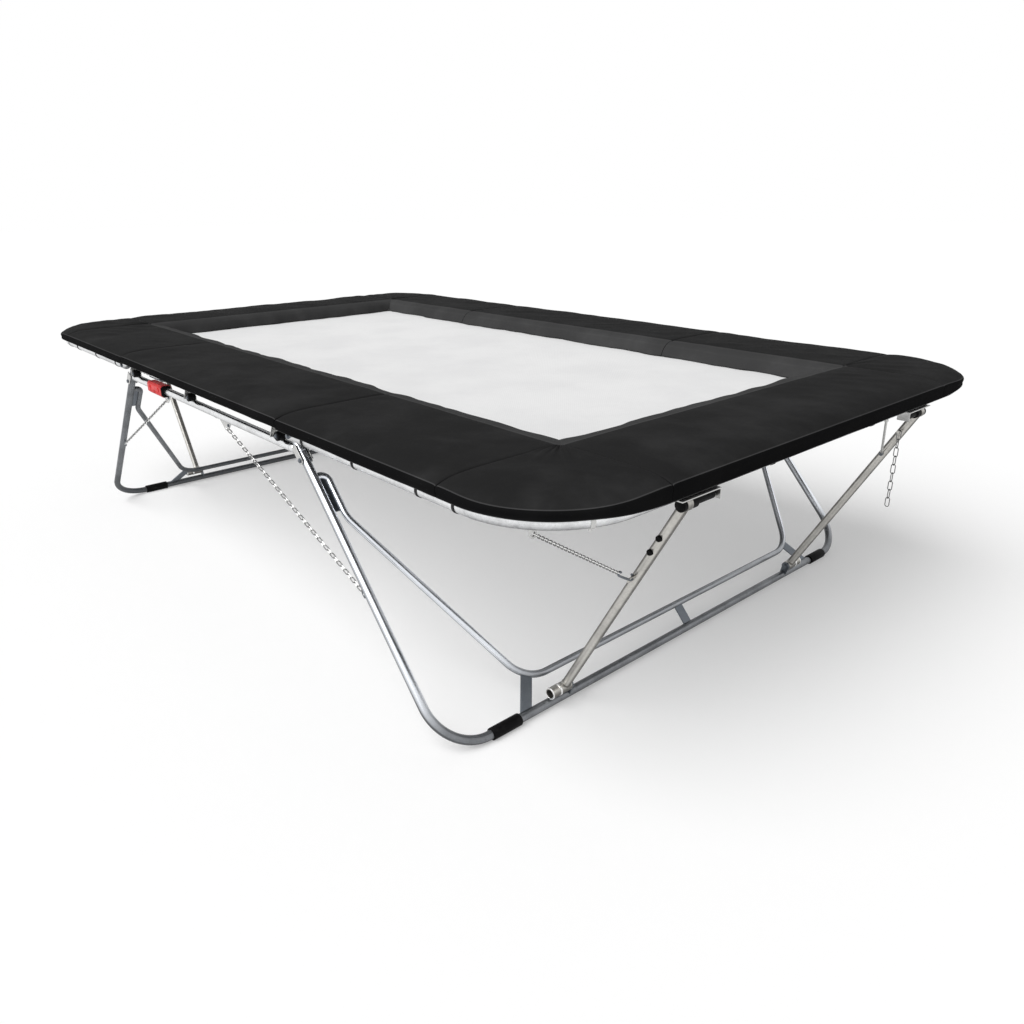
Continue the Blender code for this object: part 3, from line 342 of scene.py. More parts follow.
class Shape:
    # closed shells gathered into one piece, with a lengthwise map on tubes
    def __init__(self):
        self.points, self.faces, self.maps, self.marks = [], [], [], []

    def shell(self, points, faces, mark=0, maps=None, marks=None):
        start = len(self.points)
        self.points += [Vector(p) for p in points]
        for place, face in enumerate(faces):
            self.faces.append([start + index for index in face])
            self.maps.append(maps[place] if maps else [(0.0, 0.0)] * len(face))
            self.marks.append(marks[place] if marks else mark)

    def tube(self, path, radius, sidesRound=22, ends="round", mark=0, radii=None, light=(0, 0, 1), lobes=1):
        # the map runs in metres along the tube and in turns round it, counted from its light side
        path = [Vector(p) for p in path]
        radii = radii or [radius] * len(path)
        if ends == "round":
            dome = [(math.sin(a), math.cos(a)) for a in map(math.radians, (30, 60, 82))]
            first, last = path[0], path[-1]
            head = (first - path[1]).normalized() * radius
            tail = (last - path[-2]).normalized() * radius
            path = ([first + head * out for out, _ in reversed(dome)] + path
                    + [last + tail * out for out, _ in dome])
            rim = [radius * share for _, share in dome]
            radii = rim[::-1] + radii + rim
        normal, points, lengths, travelled = None, [], [], 0.0
        for i, point in enumerate(path):
            back = point - path[max(i - 1, 0)]
            ahead = path[min(i + 1, len(path) - 1)] - point
            tangent = (back.normalized() + ahead.normalized()).normalized()
            if normal is None:
                normal = squareTo(tangent, light)
            else:
                normal = (normal - tangent * normal.dot(tangent)).normalized()
            travelled += back.length
            lengths.append(travelled)
            points += circle(point, normal, tangent.cross(normal), radii[i], sidesRound)
        faces, maps = [], []
        around = lobes / sidesRound
        for i, (low, high) in enumerate(zip(lengths, lengths[1:])):
            for k in range(sidesRound):
                faces.append(quad(i, i + 1, k, sidesRound))
                maps.append(mapQuad(low, high, around * k, around * (k + 1)))
        faces += caps(len(path), sidesRound)
        maps += [[(0.0, 0.0)] * sidesRound] * 2
        self.shell(points, faces, mark, maps)

    def turned(self, profile, origin, axis, sidesRound=24, mark=0, closed=False):
        # profile of (distance along the axis, radius); closed joins its ends, as for a hollow ring
        axis = Vector(axis).normalized()
        normal = squareTo(axis, (0, 0, 1))
        other = axis.cross(normal)
        points, faces, maps = [], [], []
        count = len(profile)
        for along, radius in profile:
            points += circle(Vector(origin) + axis * along, normal, other, radius, sidesRound)
        for i in range(count if closed else count - 1):
            n = (i + 1) % count
            for k in range(sidesRound):
                faces.append(quad(i, n, k, sidesRound))
                maps.append(mapQuad(profile[i][0], profile[n][0], k / sidesRound, (k + 1) / sidesRound))
        if not closed:
            faces += caps(count, sidesRound)
            maps += [[(0.0, 0.0)] * sidesRound] * 2
        self.shell(points, faces, mark, maps)

    def band(self, spot, axis, inner, outer, wide):
        # a plain ring round a tube
        half = wide / 2
        profile = [(-half, inner), (-half, outer), (half, outer), (half, inner)]
        self.turned(profile, spot, axis, 28, closed=True)

    def plate(self, outline, origin, acrossAxis, upAxis, thick, hole=None, mark=0):
        # a flat plate; hole is (across, up, radius) and then the outline has to be convex
        acrossAxis, upAxis = Vector(acrossAxis).normalized(), Vector(upAxis).normalized()
        normal = acrossAxis.cross(upAxis)

        def lift(flat, height):
            return [Vector(origin) + acrossAxis * a + upAxis * u + normal * height for a, u in flat]

        if not hole:
            count = len(outline)
            points = lift(outline, -thick / 2) + lift(outline, thick / 2)
            faces = [list(range(count))[::-1], list(range(count, 2 * count))]
            faces += [[k, (k + 1) % count, (k + 1) % count + count, k + count] for k in range(count)]
            self.shell(points, faces, mark)
            return
        ringCount = 32
        centre = Vector(hole[:2])
        corners = [Vector(p) - centre for p in outline]
        angles = sorted({math.tau * k / ringCount - math.pi for k in range(ringCount)}
                        | {math.atan2(c.y, c.x) for c in corners})
        outer = []
        for angle in angles:
            ray = Vector((math.cos(angle), math.sin(angle)))
            reaches = []
            for first, second in zip(corners, corners[1:] + corners[:1]):
                edge = second - first
                cross = ray.x * edge.y - ray.y * edge.x
                if abs(cross) > 1e-12:
                    reach = (first.x * edge.y - first.y * edge.x) / cross
                    share = (first.x * ray.y - first.y * ray.x) / cross
                    if reach > 0 and -1e-6 <= share <= 1 + 1e-6:
                        reaches.append(reach)
            outer.append(centre + ray * min(reaches))
        inner = [centre + Vector((math.cos(a), math.sin(a))) * hole[2] for a in angles]
        count = len(angles)
        points, half = [], thick / 2
        for flat, height in ((outer, -half), (outer, half), (inner, half), (inner, -half)):
            points += lift(flat, height)
        faces = [quad(layer, (layer + 1) % 4, k, count) for layer in range(4) for k in range(count)]
        self.shell(points, faces, mark)

    def block(self, low, high, mark=0):
        (x0, y0, z0), (x1, y1, z1) = low, high
        self.plate([(x0, y0), (x1, y0), (x1, y1), (x0, y1)], (0, 0, (z0 + z1) / 2), (1, 0, 0), (0, 1, 0),
                   z1 - z0, mark=mark)

    def bolt(self, place, axis, across=0.0095, head=0.005, washer=0.011):
        # hexagon head on a washer, facing along the axis
        self.turned([(-0.004, washer), (0.0012, washer), (0.0016, washer - 0.0006)], place, axis, 20)
        self.turned([(0.001, across), (head - 0.0008, across), (head, across - 0.0012)], place, axis, 6)

    def piece(self, name, materials, bevel=0.0, sharp=32):
        mesh = bpy.data.meshes.new(name)
        mesh.from_pydata(self.points, [], self.faces)
        flat = mesh.uv_layers.new(name="UVMap")
        flat.data.foreach_set("uv", [value for face in self.maps for pair in face for value in pair])
        mesh.polygons.foreach_set("material_index", self.marks)
        for material in materials:
            mesh.materials.append(looks[material])
        bm = bmesh.new()
        bm.from_mesh(mesh)
        bm.normal_update()
        bmesh.ops.recalc_face_normals(bm, faces=bm.faces[:])
        bm.to_mesh(mesh)
        bm.free()
        mesh.shade_smooth()
        mesh.set_sharp_from_angle(angle=math.radians(sharp))
        made = addObject(name, mesh)
        if bevel:
            edge = made.modifiers.new("edges", "BEVEL")
            edge.width, edge.segments = bevel, 2
            edge.limit_method, edge.angle_limit = "ANGLE", math.radians(40)
        return made


def place(piece, body, slot, nodes=()):
    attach(piece, body)
    if nodes:
        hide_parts(*nodes)


def roundedPath(corners, bends, step=math.radians(5)):
    points = [Vector(corners[0])]
    for before, corner, after, bend in zip(corners, corners[1:], corners[2:], bends):
        corner = Vector(corner)
        back, ahead = (Vector(before) - corner).normalized(), (Vector(after) - corner).normalized()
        half = back.angle(ahead) / 2
        centre = corner + (back + ahead).normalized() * bend / math.sin(half)
        start = corner + back * bend / math.tan(half) - centre
        end = corner + ahead * bend / math.tan(half) - centre
        turn, axis = start.angle(end), start.cross(end).normalized()
        count = max(2, round(turn / step))
        points += [centre + Matrix.Rotation(turn * i / count, 3, axis) @ start for i in range(count + 1)]
    return points + [Vector(corners[-1])]


def arcPoints(radius, start, end, count, centre=(0, 0)):
    angles = [math.radians(start + (end - start) * i / count) for i in range(count + 1)]
    return [(centre[0] + radius * math.cos(a), centre[1] + radius * math.sin(a)) for a in angles]


# Rows made by Geometry Nodes: a unit set on every point of a mesh, aimed and turned by its attributes

def rowTree(name, sizes, makeUnit):
    group = bpy.data.node_groups.new(name, "GeometryNodeTree")
    group.interface.new_socket("Geometry", in_out="INPUT", socket_type="NodeSocketGeometry")
    for label, value in sizes.items():
        kind = "NodeSocketInt" if isinstance(value, int) else "NodeSocketFloat"
        group.interface.new_socket(label, in_out="INPUT", socket_type=kind)
    group.interface.new_socket("Finish", in_out="INPUT", socket_type="NodeSocketMaterial")
    group.interface.new_socket("Geometry", in_out="OUTPUT", socket_type="NodeSocketGeometry")
    tree = Tree(group)
    given = tree.add("NodeGroupInput")
    unit = makeUnit(tree, {label: given.out(label) for label in sizes})
    aim = tree.add("GeometryNodeInputNamedAttribute", {"data_type": "FLOAT_VECTOR"}, {"Name": "aim"})
    turn = tree.add("GeometryNodeInputNamedAttribute", {"data_type": "FLOAT"}, {"Name": "turn"})
    jitter = tree.add("FunctionNodeRandomValue", {"data_type": "FLOAT"},
                      {2: given.out("Jitter") * -1.0, 3: given.out("Jitter"), "Seed": given.out("Seed")}, 1)
    facing = tree.add("FunctionNodeAlignRotationToVector", {"axis": "Z"}, {"Vector": aim})
    spin = tree.add("FunctionNodeAxisAngleToRotation", {}, {"Axis": (0, 0, 1), "Angle": turn + jitter})
    rotation = tree.add("FunctionNodeRotateRotation", {"rotation_space": "LOCAL"},
                        {"Rotation": facing, "Rotate By": spin})
    rowsMade = tree.add("GeometryNodeInstanceOnPoints", {},
                        {"Points": given.out("Geometry"), "Instance": unit, "Rotation": rotation})
    solid = tree.add("GeometryNodeRealizeInstances", {}, {"Geometry": rowsMade})
    finished = tree.add("GeometryNodeSetMaterial", {}, {"Geometry": solid, "Material": given.out("Finish")})
    tree.add("NodeGroupOutput", {}, {0: finished})
    return group


def growRow(name, group, spots, values, finish):
    # spots are (place, aim, turn); the result is a plain mesh
    mesh = bpy.data.meshes.new(name)
    mesh.from_pydata([spot[0] for spot in spots], [], [])
    aim = mesh.attributes.new("aim", "FLOAT_VECTOR", "POINT")
    aim.data.foreach_set("vector", [value for spot in spots for value in spot[1]])
    turn = mesh.attributes.new("turn", "FLOAT", "POINT")
    turn.data.foreach_set("value", [spot[2] for spot in spots])
    base = addObject(name + "Points", mesh)
    modifier = base.modifiers.new("row", "NODES")
    modifier.node_group = group
    for item in group.interface.items_tree:
        if item.in_out == "INPUT" and item.name in values:
            modifier[item.identifier] = values[item.name]
        elif item.in_out == "INPUT" and item.name == "Finish":
            modifier[item.identifier] = looks[finish]
    bpy.context.view_layer.update()
    evaluated = base.evaluated_get(bpy.context.evaluated_depsgraph_get())
    grown = bpy.data.meshes.new_from_object(evaluated)
    base.modifiers.remove(modifier)
    bpy.data.objects.remove(base)
    grown.shade_smooth()
    return addObject(name, grown)


def ring(tree, radius, resolution):
    return tree.add("GeometryNodeCurvePrimitiveCircle", {"mode": "RADIUS"},
                    {"Resolution": resolution, "Radius": radius})


def wire(tree, curve, thickness, resolution):
    profile = ring(tree, thickness * 0.5, resolution)
    return tree.add("GeometryNodeCurveToMesh", {},
                    {"Curve": curve, "Profile Curve": profile, "Fill Caps": True})


def linkUnit(tree, size):
    # a round-ended link, its length along Z
    middle = tree.add("GeometryNodeCurvePrimitiveQuadrilateral", {"mode": "RECTANGLE"},
                      {"Width": size["Width"] - size["Wire"], "Height": size["Length"] - size["Wire"]})
    rounded = tree.add("GeometryNodeFilletCurve", {"mode": "POLY"},
                       {"Curve": middle, "Radius": (size["Width"] - size["Wire"]) * 0.499, "Count": 4})
    upright = tree.add("GeometryNodeTransform", {}, {"Geometry": rounded, "Rotation": (math.pi / 2, 0, 0)})
    return wire(tree, upright, size["Wire"], 7)


def springUnit(tree, size):
    # a close coil that narrows at both ends, with a straight hook wire
    def coil(low, high, first, last, turns):
        spiral = tree.add("GeometryNodeCurveSpiral", {},
                          {"Resolution": 9, "Rotations": turns, "Start Radius": first, "End Radius": last,
                           "Height": high - low})
        lift = tree.add("ShaderNodeCombineXYZ", {}, {"Z": low})
        return tree.add("GeometryNodeTransform", {}, {"Geometry": spiral, "Translation": lift})

    half, radius = size["Length"] * 0.5, size["Width"] * 0.5 - size["Wire"] * 0.5
    hook, neck = size["Hook"], size["Neck"]
    body = coil((half - hook - neck) * -1.0, half - hook - neck, radius, radius, size["Turns"])
    parts = [body, coil((half - hook) * -1.0, (half - hook - neck) * -1.0, radius * 0.25, radius, 3.0),
             coil(half - hook - neck, half - hook, radius, radius * 0.25, 3.0)]
    joined = tree.add("GeometryNodeJoinGeometry")
    for part in parts:
        tree.nodeTree.links.new(wire(tree, part, size["Wire"], 4).socket, joined.socket.node.inputs[0])
    for direction in (-1.0, 1.0):
        start = tree.add("ShaderNodeCombineXYZ", {}, {"Z": (half - hook - 0.002) * direction})
        end = tree.add("ShaderNodeCombineXYZ", {}, {"Z": half * direction})
        line = tree.add("GeometryNodeCurvePrimitiveLine", {"mode": "POINTS"}, {"Start": start, "End": end})
        tree.nodeTree.links.new(wire(tree, line, size["Wire"], 5).socket, joined.socket.node.inputs[0])
    return joined


# Frame tubes

def cornerPoint(side, row, degrees, drop=0.0):
    turn = math.radians(degrees)
    reach = plan["frameCorner"]
    return Vector((sides[side] * (plan["frameX"] - reach + reach * math.cos(turn)),
                   rows[row] * (plan["frameY"] - reach + reach * math.sin(turn)), plan["frameZ"] - drop))


frameParts = {"eyeDrop": 0.03683, "eyeEdge": 0.014, "eyeHole": 0.0075, "plate": 0.005, "cornerEye": 52.0,
              "jointX": 1.90, "clipAngle": 24.0, "clipWide": 0.014, "strapWide": 0.010, "strapThick": 0.0022,
              "strapTail": 0.020, "longStraps": (1.032, 1.374, 1.734, 1.912), "shortStraps": (-0.35, 0.35)}
bracketPlan = {"width": 0.050, "thick": 0.004, "deep": 0.038, "inboard": 0.14, "outboard": 0.05,
               "rivets": (0.25, 0.8)}


def frameEye(side, row):
    return cornerPoint(side, row, frameParts["cornerEye"], frameParts["eyeDrop"])


def addEye(shape, outline, eye, across, up):
    shape.plate(outline, eye, across, up, frameParts["plate"], (0, 0, frameParts["eyeHole"]))


def eyeTab(sunk):
    # outline of a chain eye with two cut corners, sunk into the tube that it stands on
    edge, cut = frameParts["eyeEdge"], 0.004
    return [(-edge, -edge + cut), (-edge + cut, -edge), (edge - cut, -edge), (edge, -edge + cut),
            (edge, edge + sunk), (-edge, edge + sunk)]


def makeFrame(side):
    x, radius = sides[side], plan["frameRadius"]
    stops = [(x * plan[reach], y * plan["frameY"], plan["frameZ"])
             for reach, y in (("hingeX", -1), ("frameX", -1), ("frameX", 1), ("hingeX", 1))]
    shape = Shape()
    shape.tube(roundedPath(stops, [plan["frameCorner"]] * 2, math.radians(4)), radius, 28)
    for y in rows.values():
        # slip joints of the bent corner in the long tube, each with its shoulder ring
        joint = (x * frameParts["jointX"], y * plan["frameY"], plan["frameZ"])
        shape.turned([(-0.008, radius - 0.002), (-0.006, radius + 0.0012), (0.006, radius + 0.0012),
                      (0.008, radius - 0.002)], joint, (1, 0, 0), 28)
    place(shape.piece("endTube" + side.title(), ["frameSteel"]), "end_frame_" + side, "galvanised_tube",
          ["end_tube_" + side])
    makeFrameEyes(side)
    for row in rows:
        makeBracket(side, row)
    makePadStraps(side)


def makeFrameEyes(side):
    # eyes for the strut chains, and clips round the bent corners, each with a stud below
    plates, radius, edge = Shape(), plan["frameRadius"], frameParts["eyeEdge"]
    outline = arcPoints(edge, 180, 360, 8) + [(edge, edge + 0.004), (-edge, edge + 0.004)]
    for row in rows:
        eye, goal = frameEye(side, row), strutEye(side, row)
        addEye(plates, outline, eye, (goal.x - eye.x, goal.y - eye.y, 0), (0, 0, 1))
        clip = cornerPoint(side, row, frameParts["clipAngle"])
        spread = (cornerPoint(side, row, frameParts["clipAngle"] + 2) - clip).normalized()
        plates.band(clip, spread, radius - 0.001, radius + 0.0028, frameParts["clipWide"])
        plates.turned([(0.018, 0.0060), (0.033, 0.0060), (0.0345, 0.0045)], clip, (0, 0, -1), 14)
    place(plates.piece("frameEyes" + side.title(), ["plateSteel"], 0.0008), "end_frame_" + side,
          "galvanised_tube")


def makeBracket(side, row):
    # folded plate that takes the strut's roller, with two rivets below
    x, y, bracket = sides[side], rows[row], Shape()
    top, thick = plan["frameBottom"] - 0.0003, bracketPlan["thick"]
    low = top - bracketPlan["deep"]
    tab, outer = strutPlan["y"] - bracketPlan["inboard"], strutPlan["y"] + bracketPlan["outboard"]
    outline = [(tab - thick, top), (tab - thick, low + 0.004), (tab - thick + 0.002, low), (tab - 0.001, low),
               (tab, low + 0.002), (tab, top - thick - 0.003), (tab + 0.003, top - thick),
               (outer, top - thick), (outer, top)]
    bracket.plate([(y * a, u) for a, u in outline], (x * plan["frameX"], 0, 0), (0, 1, 0), (0, 0, 1),
                  bracketPlan["width"])
    for share in bracketPlan["rivets"]:
        spot = (x * plan["frameX"], y * (tab + (outer - tab) * share), top - thick)
        bracket.turned([(-0.001, 0.006), (0.0012, 0.0055), (0.0018, 0.003)], spot, (0, 0, -1), 14)
    place(bracket.piece(f"strutBracket{row.title()}{side.title()}", ["plateSteel"], 0.0008),
          "end_frame_" + side, "galvanised_tube", [f"strut_bracket_{row}_{side}"])


def makePadStraps(side):
    # narrow straps that hold the pads to the tube
    x, radius, straps = sides[side], plan["frameRadius"], Shape()
    wide, thick = frameParts["strapWide"], frameParts["strapThick"]
    for y in rows.values():
        for reach in frameParts["longStraps"]:
            spot = Vector((x * reach, y * plan["frameY"], plan["frameZ"]))
            straps.band(spot, (1, 0, 0), radius + 0.0002, radius + thick, wide)
            tail = spot.y + y * frameParts["strapTail"]
            straps.block((spot.x - wide / 2, tail - thick / 2, spot.z),
                         (spot.x + wide / 2, tail + thick / 2, plan["padBottom"] + 0.001))
    for reach in frameParts["shortStraps"]:
        spot = Vector((x * plan["frameX"], reach, plan["frameZ"]))
        straps.band(spot, (0, 1, 0), radius + 0.0002, radius + thick, wide)
    place(straps.piece("padStraps" + side.title(), ["strapCloth"], 0.0005), "end_frame_" + side, "pad_vinyl")


# Struts: their sizes are needed by the frame's brackets and eyes too

strutPlan = {"y": 0.80, "footX": 1.777, "footZ": 0.070, "headX": 2.266, "headZ": 0.94657, "radius": 0.0175,
             "sleeve": 0.022, "sleeveLength": 0.10, "inboard": 0.0235, "bore": 0.0165, "pin": 0.0113,
             "rollerRadius": 0.018, "rollerLength": 0.088, "stubRadius": 0.014, "stubLength": 0.090,
             "band": 0.021, "bandWide": 0.026, "eyeShare": 0.66, "buffers": (0.785, 0.85), "peg": 0.90}


def strutPoint(side, row, share, out=0.0):
    foot = Vector((strutPlan["footX"], 0, strutPlan["footZ"]))
    spot = foot.lerp(Vector((strutPlan["headX"], 0, strutPlan["headZ"])), share)
    return Vector((sides[side] * spot.x, rows[row] * (strutPlan["y"] + out), spot.z))


def strutEye(side, row):
    return strutPoint(side, row, strutPlan["eyeShare"], strutPlan["radius"] + frameParts["eyeEdge"])


def makeStrut(side, row):
    y, radius, name = rows[row], strutPlan["radius"], row.title() + side.title()
    body = f"strut_{row}_{side}"
    foot, head = strutPoint(side, row, 0), strutPoint(side, row, 1)
    direction, across = (head - foot).normalized(), Vector((0, y, 0))
    steel = Shape()
    # painted light: the flank towards the light and the opposite flank are lighter, with painted shade
    # between them
    steel.tube([foot + direction * 0.012, foot.lerp(head, 0.5), head - direction * 0.016], radius, 28, "flat",
               light=(0.35, -0.94, 0), lobes=2)
    # weld bead where the tube meets its pivot sleeve
    bead = [foot + direction * along for along in (0.018, 0.023, 0.028)]
    steel.tube(bead, radius, 28, "flat", radii=[radius + 0.0002, radius + 0.0022, radius + 0.0002])
    inner, outer = -strutPlan["inboard"], strutPlan["sleeveLength"] - strutPlan["inboard"]
    hole, wall, bore = strutPlan["pin"] + 0.0006, strutPlan["sleeve"], strutPlan["bore"]
    steel.turned([(inner, hole), (inner, wall - 0.001), (inner + 0.001, wall), (outer - 0.001, wall),
                  (outer, wall - 0.001), (outer, bore), (outer - 0.026, bore - 0.0005),
                  (outer - 0.027, hole)],
                 foot, across, 32, closed=True)
    # bright rings at the sleeve's mouth and round its middle
    for start, wide in ((outer - 0.0035, 0.0040), (0.0300, 0.0085)):
        stop = start + wide
        steel.turned([(start, wall - 0.003), (start, wall + 0.0012), (start + 0.0006, wall + 0.0020),
                      (stop - 0.0006, wall + 0.0020), (stop, wall + 0.0012), (stop, wall - 0.003)],
                     foot, across, 36, mark=1, closed=True)
    # steel band round the roller
    band, half, roller = strutPlan["band"], strutPlan["bandWide"] / 2, strutPlan["rollerRadius"] + 0.0003
    steel.turned([(-half, roller), (-half, band), (-half + 0.0015, band + 0.0006),
                  (half - 0.0015, band + 0.0006), (half, band), (half, roller)],
                 head, across, 32, closed=True)
    addEye(steel, eyeTab(0.004), strutEye(side, row), direction, -across)
    if side == "right" and row == "far":
        # peg that the loose chain hangs from
        root = strutPoint(side, row, strutPlan["peg"], -radius)
        steel.turned([(-0.003, 0.004), (0.029, 0.004), (0.0295, 0.0072), (0.0335, 0.0072), (0.034, 0.0066)],
                     root, -across, 18)
    place(steel.piece("strutTube" + name, ["strutSteel", "zinc"], 0.0006), body, "strut_steel", [body])

    place(strutRoller(head, across).piece("strutRoller" + name, ["rubber"]), body, "rubber",
          [f"strut_roller_{row}_{side}"])

    buffers = Shape()
    dome = [(0.0, 0.0105), (0.0075, 0.0108), (0.0115, 0.0098), (0.0128, 0.0075), (0.0122, 0.0035)]
    outward = across.lerp(Vector((-direction.z * sides[side], 0, abs(direction.x))), 0.10).normalized()
    for share in strutPlan["buffers"]:
        root = strutPoint(side, row, share) + outward * (radius - 0.004)
        buffers.turned(dome, root, outward, 22)
    place(buffers.piece("strutBuffers" + name, ["rubber"]), body, "rubber")


def strutRoller(head, across):
    rubber, half = Shape(), strutPlan["bandWide"] / 2
    end, roller, stub = strutPlan["rollerLength"] / 2, strutPlan["rollerRadius"], strutPlan["stubRadius"]
    far, tip = -end - strutPlan["stubLength"], end - 0.012
    rubber.turned([(far, stub - 0.003), (far + 0.0012, stub - 0.0009), (far + 0.004, stub),
                   (-end - 0.001, stub), (-end, roller - 0.004), (-end + 0.0012, roller - 0.0012),
                   (-end + 0.004, roller), (-half, roller), (half, roller), (tip - 0.004, roller),
                   (tip - 0.0012, roller - 0.0012), (tip, roller - 0.004)], head, across, 32)
    # bosses that fill the space between the roller and its bracket on both sides of the band
    for start, stop in ((half + 0.001, tip - 0.003), (-end + 0.002, -half - 0.001)):
        rubber.turned([(start, roller), (start + 0.001, roller + 0.0022), (stop - 0.002, roller + 0.0022),
                       (stop, roller + 0.0004)], head, across, 32)
    return rubber


stayPlan = {"share": 0.765, "clear": 0.0035, "highY": 0.50, "drop": 0.0062, "radius": 0.0052}


def makeStay():
    # thin rod beside the far right strut, up to the short side's tube
    stay, side, radius = Shape(), Vector((0, 1, 0)), stayPlan["radius"]
    low = strutPoint("right", "far", stayPlan["share"], -(strutPlan["radius"] + stayPlan["clear"]))
    high = Vector((plan["frameX"], stayPlan["highY"], plan["frameBottom"] - stayPlan["drop"]))
    aim = (high - low).normalized()
    stay.tube([low - aim * 0.004, low.lerp(high, 0.5), high], radius, 14)
    stay.turned([(-0.0060, radius), (-0.0045, 0.0088), (0.0035, 0.0088), (0.0050, 0.0070)],
                low, side, 18, mark=1)
    stay.turned([(-0.0055, radius), (-0.0040, 0.0078), (0.0040, 0.0078), (0.0055, radius)],
                high - aim * 0.004, side, 18)
    place(stay.piece("strutStay", ["plateSteel", "barSteel"]), "strut_far_right", "strut_steel")


# Rails under the long sides

legPlan = {"spread": 1.352, "topX": 0.957, "topZ": 0.902, "footX": 1.765, "footZ": 0.0215,
           "radius": 0.0175, "head": 0.0275, "bend": 0.19, "inner": 0.014, "innerY": 1.3005,
           "innerTop": 0.089, "innerBend": 0.26, "innerCross": 0.110, "innerCornerY": 0.917,
           "innerRadius": 0.16, "elbow": 0.12, "hookBend": 0.030, "hook": 0.55, "bar": 0.048,
           "barThick": 0.006, "strap": (0.080, 0.230), "lug": 0.020, "sleeveY": 1.088, "sleeve": 0.0235,
           "sleeveLength": 0.135}
legAlong = Vector((legPlan["footX"] - legPlan["topX"], 0, legPlan["footZ"] - legPlan["topZ"]))
legLength = legAlong.length
legAlong.normalize()

railPlan = {"hangers": (-0.86025, -0.1302, 0.744), "hangerTop": 0.070, "hangerFoot": 0.036, "wing": 0.0755,
            "plate": 0.005, "roller": 0.019, "rollerLength": 0.034, "rollerAlong": 0.066,
            "eyes": {"left": -0.45012, "right": 0.25017}, "eyeZ": 0.88393, "eyeTop": 0.13, "eyeFoot": 0.030,
            "legX": 0.957, "legZ": 0.902, "lug": (0.0165, 0.060), "stub": (0.032, 0.092), "legGap": 0.018,
            "clampX": -0.522, "clampLength": 0.196, "clampDeep": 0.054, "clampHigh": 0.058,
            "rings": ((0.166, 0.010), (-0.865, 0.012), (0.853, 0.012))}


def makeRail(row):
    y, name = rows[row], row.title()
    makeRailTubes(y, row)
    plates, pins, rollers = Shape(), Shape(), Shape()
    for x in railPlan["hangers"]:
        addHanger(x, y, plates, pins, rollers)
    for side in sides:
        addChainPlate(side, y, plates, pins)
        addLegHinge(side, y, plates, pins)
        addFrameHinge(side, y, pins)
    place(plates.piece("railPlates" + name, ["plateSteel", "legSteel"], 0.0008), "centre_section",
          "galvanised_tube")
    place(pins.piece("railBolts" + name, ["barSteel"], 0.0004), "centre_section", "zinc")
    place(rollers.piece("hangerRollers" + name, ["rubber"]), "centre_section", "rubber",
          [f"hanger_roller_{row}_{spot}" for spot in ("left", "middle", "right")])


def makeRailTubes(y, row):
    # the rail with its end caps and rings, and the long side's tube above it
    tube, radius = Shape(), plan["railRadius"]
    middle = (0, y * plan["railY"], plan["railZ"])
    ends = [(x * plan["railEnd"], y * plan["railY"], plan["railZ"]) for x in (-1, 1)]
    tube.tube([ends[0], middle, ends[1]], radius, 28, "flat")
    for x, end in zip((-1, 1), ends):
        tube.turned([(-0.012, radius - 0.001), (-0.012, radius + 0.0010), (0.004, radius + 0.0010),
                     (0.0075, radius - 0.0008), (0.0095, radius - 0.0045), (0.0100, radius - 0.0100)],
                    end, (x, 0, 0), 28)
    for start, wide in railPlan["rings"]:
        stop = start + wide
        tube.turned([(start, radius - 0.002), (start + 0.001, radius + 0.0011),
                     (stop - 0.001, radius + 0.0011), (stop, radius - 0.002)], middle, (1, 0, 0), 28)
    upper = [(x * plan["hingeX"], y * plan["centreY"], plan["frameZ"]) for x in (-1, 0, 1)]
    centre = Shape()
    centre.tube(upper, plan["frameRadius"], 28)
    place(tube.piece("railTube" + row.title(), ["frameSteel"]), "centre_section", "galvanised_tube",
          ["rail_" + row])
    place(centre.piece("upperTube" + row.title(), ["frameSteel"]), "centre_section", "galvanised_tube",
          ["centre_tube_" + row])


def addHanger(x, y, plates, pins, rollers):
    thick, top, wing = railPlan["plate"], plan["railTop"], railPlan["wing"]
    head, foot = railPlan["hangerTop"] / 2, railPlan["hangerFoot"] / 2
    wide, reach = railPlan["rollerLength"], railPlan["roller"]
    plateY = plan["centreY"] + plan["frameRadius"] + 0.0003 + thick / 2
    outline = [(-foot, top - 0.004), (wing, top - 0.004), (wing, top + reach),
               (wing - 0.004, top + reach + 0.004), (head, plan["frameZ"]), (-head, plan["frameZ"])]
    plates.plate(outline, (x, y * plateY, 0), (1, 0, 0), (0, 0, 1), thick)
    # a stiffening rib square to the plate, and the bolt that carries the roller
    rib = [(0.0, top - 0.003), (0.0, plan["frameZ"] - 0.006), (0.012, plan["frameZ"] - 0.010),
           (0.024, top - 0.003)]
    outside = plateY + thick / 2
    plates.plate([(y * a, u) for a, u in rib], (x - 0.012, y * outside, 0), (0, 1, 0), (0, 0, 1), 0.004)
    spot = Vector((x + railPlan["rollerAlong"], y * (outside + 0.0004), top + 0.0003 + reach))
    rollers.turned([(0.0, 0.010), (0.0, reach - 0.002), (0.0015, reach - 0.0004), (0.004, reach),
                    (wide - 0.004, reach), (wide - 0.0015, reach - 0.0005), (wide, reach - 0.003),
                    (wide - 0.0012, 0.010)], spot, (0, y, 0), 30)
    pins.bolt(spot + Vector((0, y * (wide - 0.001), 0)), (0, y, 0), 0.0065, 0.005, 0.0085)


def railEye(side, y):
    return Vector((railPlan["eyes"][side], y * plan["railY"], railPlan["eyeZ"]))


